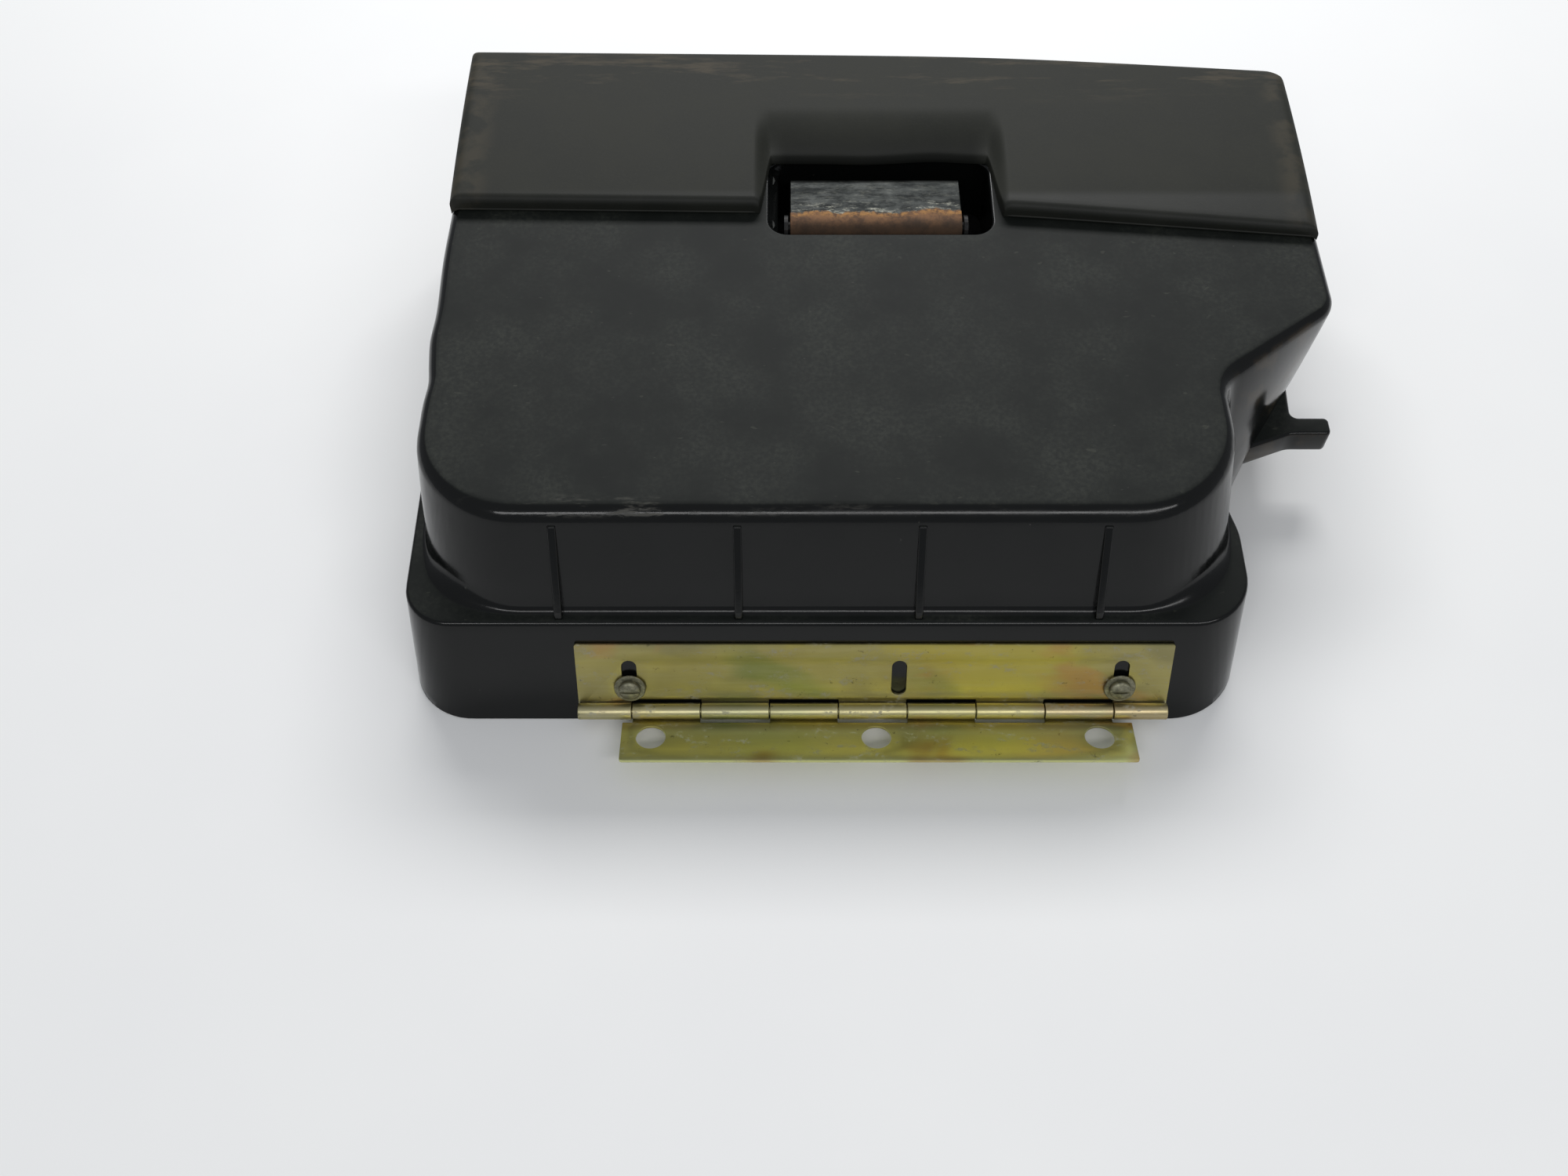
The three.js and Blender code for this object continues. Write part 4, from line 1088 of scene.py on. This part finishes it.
def yellow_zinc():
    """Yellow passivated zinc: gold and olive with green and orange bloom and grey corrosion, the free leaf
    painted paler and greener, partly as painted light, and a painted highlight on the knuckles.
    """
    s = Surface("yellow_zinc", Metallic=1.0)
    bloom = s.noise(42, 3, 0.55, (1.6, 1, 1), 0.6)
    color = s.blend(s.ramp(bloom, 0.34, 0.50), (0.300, 0.270, 0.125), (0.395, 0.345, 0.130))
    color = s.blend(s.ramp(bloom, 0.50, 0.62), color, (0.470, 0.400, 0.105))
    green = s.ramp(s.noise(30, 3, 0.5, (2, 1, 1), 0.4, 3.0), 0.52, 0.66)
    color = s.blend(s.times(green, 0.75), color, (0.215, 0.255, 0.085))
    # Partly painted light: the free leaf is painted much paler to stand in for how brightly it is lit, and
    # partly greener as its own tone.
    free_leaf_light_and_tone = s.band("Y", -60, -8, 2)
    color = s.blend(s.times(free_leaf_light_and_tone, 0.70), color, (0.860, 0.900, 0.420))
    orange = s.ramp(s.noise(26, 3, 0.5, (2, 1, 1), 0.4, 7.0), 0.56, 0.68)
    color = s.blend(s.times(orange, 0.7), color, (0.48, 0.27, 0.10))
    streaks = s.noise(2.0, 4, 0.6, (14, 1, 1))
    color = s.blend(s.times(s.ramp(streaks, 0.4, 0.7), 0.12), color, (0.50, 0.47, 0.30))
    # Painted highlight: the rolled knuckles are painted paler.
    knuckles = s.times(s.band("Y", -3.4, 2.9, 0.3), s.band("Z", 4, 11, 0.5))
    color = s.blend(s.times(knuckles, 0.5), color, (0.62, 0.58, 0.38))
    salt = s.ramp(s.noise(5, 6, 0.75, (2, 1, 1), 0, 1.0), 0.53, 0.65)
    bloom_of_salt = s.times(salt, s.ramp(s.noise(1.3, 3), 0.35, 0.65))
    color = s.blend(s.times(bloom_of_salt, 0.6), color, (0.42, 0.41, 0.35))
    dirt = s.ramp(s.noise(3.0, 4, 0.7, shift=5.0), 0.63, 0.72)
    color = s.blend(s.times(dirt, 0.6), color, (0.060, 0.055, 0.035))
    rough = s.level(s.noise(7, 5, 0.65), 0.30, 0.50)
    rough = s.level(bloom_of_salt, rough, 0.75)
    metal = s.level(s.times(bloom_of_salt, 0.7), 1.0, 0.3)
    height = s.sum(s.times(s.noise(0.8, 4), 0.5), s.times(bloom_of_salt, 0.5))
    return s.finish(color, rough, metal, height, 0.04)


def latch_steel():
    """Bare zinc-grey sheet behind, rusted brown on the roll at its front, with painted shade where the roll
    turns under.
    """
    s = Surface("latch_steel", Metallic=0.9)
    edge = PIVOT_Y + ORIGIN.y / MM - 7
    wave = s.times(s.noise(26, 6, 0.7), 14 * MM)
    along = s.sum(s.axis("Y"), wave, "SUBTRACT")

    def across(start, end):
        """From 0 to 1 between two distances behind the pivot."""
        return s.ramp(along, (edge + start) * MM, (edge + end) * MM)

    rust = across(4.4, 3.0)
    mottled = s.ramp(s.noise(4, 6, 0.75, (3, 1, 1)), 0.36, 0.62)
    grey = s.blend(mottled, (0.004, 0.005, 0.005), (0.024, 0.026, 0.025))
    flecks = s.ramp(s.noise(1.6, 5, 0.75, (3, 1, 1)), 0.50, 0.66)
    grey = s.blend(s.times(flecks, s.level(across(11, 5), 0.1, 0.8)), grey, (0.15, 0.15, 0.125))
    brown = s.blend(s.ramp(s.noise(5, 6, 0.7), 0.35, 0.65), (0.075, 0.036, 0.016), (0.190, 0.092, 0.038))
    orange = s.times(s.ramp(s.noise(2.2, 5, 0.7), 0.40, 0.58), across(0, 3))
    brown = s.blend(s.times(orange, 0.8), brown, (0.40, 0.20, 0.055))
    # Painted shade: the front of the roll, where it turns under towards the pocket, is darkened almost to
    # black.
    brown = s.blend(s.times(across(0, -4), 0.75), brown, (0.030, 0.018, 0.010))
    color = s.blend(rust, grey, brown)
    rough = s.level(rust, s.level(s.noise(3, 4), 0.32, 0.55), 0.78)
    metal = s.level(rust, 0.95, 0.15)
    height = s.sum(s.times(s.noise(0.7, 5, 0.7), rust), s.times(s.noise(2.0, 3), 0.3))
    return s.finish(color, rough, metal, height, 0.06)


def aged_metal(name, dark, light, stain, low, high, metallic=0.95):
    """Plain hardware metal with blotchy tarnish."""
    s = Surface(name, Metallic=metallic)
    color = s.blend(s.ramp(s.noise(2.6, 5, 0.7), 0.35, 0.65), dark, light)
    color = s.blend(s.times(s.ramp(s.noise(1.3, 4, 0.7, shift=2.0), 0.55, 0.68), 0.6), color, stain)
    rough = s.level(s.noise(1.8, 4), low, high)
    return s.finish(color, rough, None, s.noise(0.6, 4), 0.04)


def nylon():
    """Nylon gone dark with grease."""
    s = Surface("nylon", IOR=1.53)
    color = s.blend(s.noise(4, 4), (0.030, 0.028, 0.022), (0.070, 0.065, 0.050))
    return s.finish(color, s.level(s.noise(2, 3), 0.4, 0.55), None, s.noise(0.5, 3), 0.03)


def pale_floor():
    s = Surface("pale_floor", Roughness=0.5)
    color = s.blend(s.ramp(s.noise(160, 4), 0.3, 0.7), (0.89, 0.89, 0.885), (0.91, 0.91, 0.90))
    return s.finish(color)


MATERIALS = {
    "black_plastic": black_plastic(),
    "cover_plastic": cover_plastic(),
    "yellow_zinc": yellow_zinc(),
    "latch_steel": latch_steel(),
    "dark_steel": aged_metal(
        "dark_steel", (0.008, 0.008, 0.009), (0.022, 0.022, 0.022), (0.03, 0.02, 0.012), 0.45, 0.65, 0.6,
    ),
    "screw_steel": aged_metal(
        "screw_steel", (0.16, 0.155, 0.11), (0.32, 0.31, 0.22), (0.10, 0.08, 0.045), 0.38, 0.6,
    ),
    "spring_steel": aged_metal(
        "spring_steel", (0.16, 0.165, 0.17), (0.32, 0.32, 0.32), (0.10, 0.08, 0.06), 0.22, 0.4,
    ),
    "nylon": nylon(),
}


# -------- pieces on their bodies

def finished(piece, body, slot, *nodes):
    piece.data.materials.clear()
    piece.data.materials.append(MATERIALS[slot])
    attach(piece, body)
    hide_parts(*nodes)


finished(build_tub(), "box", "black_plastic", "tub")
finished(build_cover(), "box", "cover_plastic", "top_cover")
upper_leaf, lower_leaf = build_hinge()
finished(upper_leaf, "box", "yellow_zinc", "hinge_leaf_upper")
finished(lower_leaf, "mounting_leaf", "yellow_zinc", "hinge_leaf_lower")
finished(build_lever(), "latch", "latch_steel", "latch_lever")
for piece, slot, node in build_hardware():
    finished(piece, "latch" if node.startswith("latch_bush") else "box", slot, node)

NODE_SLOTS = {
    "latch_hook": "dark_steel",
    "latch_bracket": "dark_steel",
    "latch_spring": "spring_steel",
    "latch_bush": "nylon",
    "hinge_pin": "yellow_zinc",
}
for name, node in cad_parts.items():
    slot = next((value for key, value in NODE_SLOTS.items() if name.startswith(key)), "screw_steel")
    node.data.materials.clear()
    node.data.materials.append(MATERIALS[slot])

# -------- floor, lights and camera

FLOOR_SIZE = 6.0
bpy.ops.mesh.primitive_plane_add(size=FLOOR_SIZE)
floor = bpy.context.object
floor.name = "floor"
floor.data.materials.append(pale_floor())


def soft_light(name, place, size, power):
    """A rectangular lamp aimed at the middle of the floor."""
    lamp = bpy.data.lights.new(name, "AREA")
    lamp.shape = "RECTANGLE"
    lamp.size, lamp.size_y = size
    lamp.energy = power
    carrier = in_scene(name, lamp)
    carrier.location = place
    aim = Vector((0, 0, 0)) - Vector(place)
    carrier.rotation_euler = aim.to_track_quat("-Z", "Y").to_euler()


soft_light("behind", (0.0, 1.56, 1.40), (1.7, 0.45), 32)
soft_light("front", (0.25, -1.35, 1.55), (2.6, 0.26), 14)

world = bpy.data.worlds.new("pale_room")
world.use_nodes = True
world.node_tree.nodes["Background"].inputs["Color"].default_value = (0.90, 0.94, 1.0, 1)
world.node_tree.nodes["Background"].inputs["Strength"].default_value = 0.34
bpy.context.scene.world = world

CAMERA_PLACE = placed([(-16.2, -274.3, 527.0)])[0]
CAMERA_TILT = radians(32.3)
CAMERA_LENS = 36.02
camera_data = bpy.data.cameras.new("camera")
camera_data.lens = CAMERA_LENS
camera_data.sensor_width = 36.0
camera = in_scene("camera", camera_data)
camera.location = CAMERA_PLACE
camera.rotation_euler = (CAMERA_TILT, 0, 0)
bpy.context.scene.camera = camera
bpy.context.scene.view_settings.view_transform = "Standard"
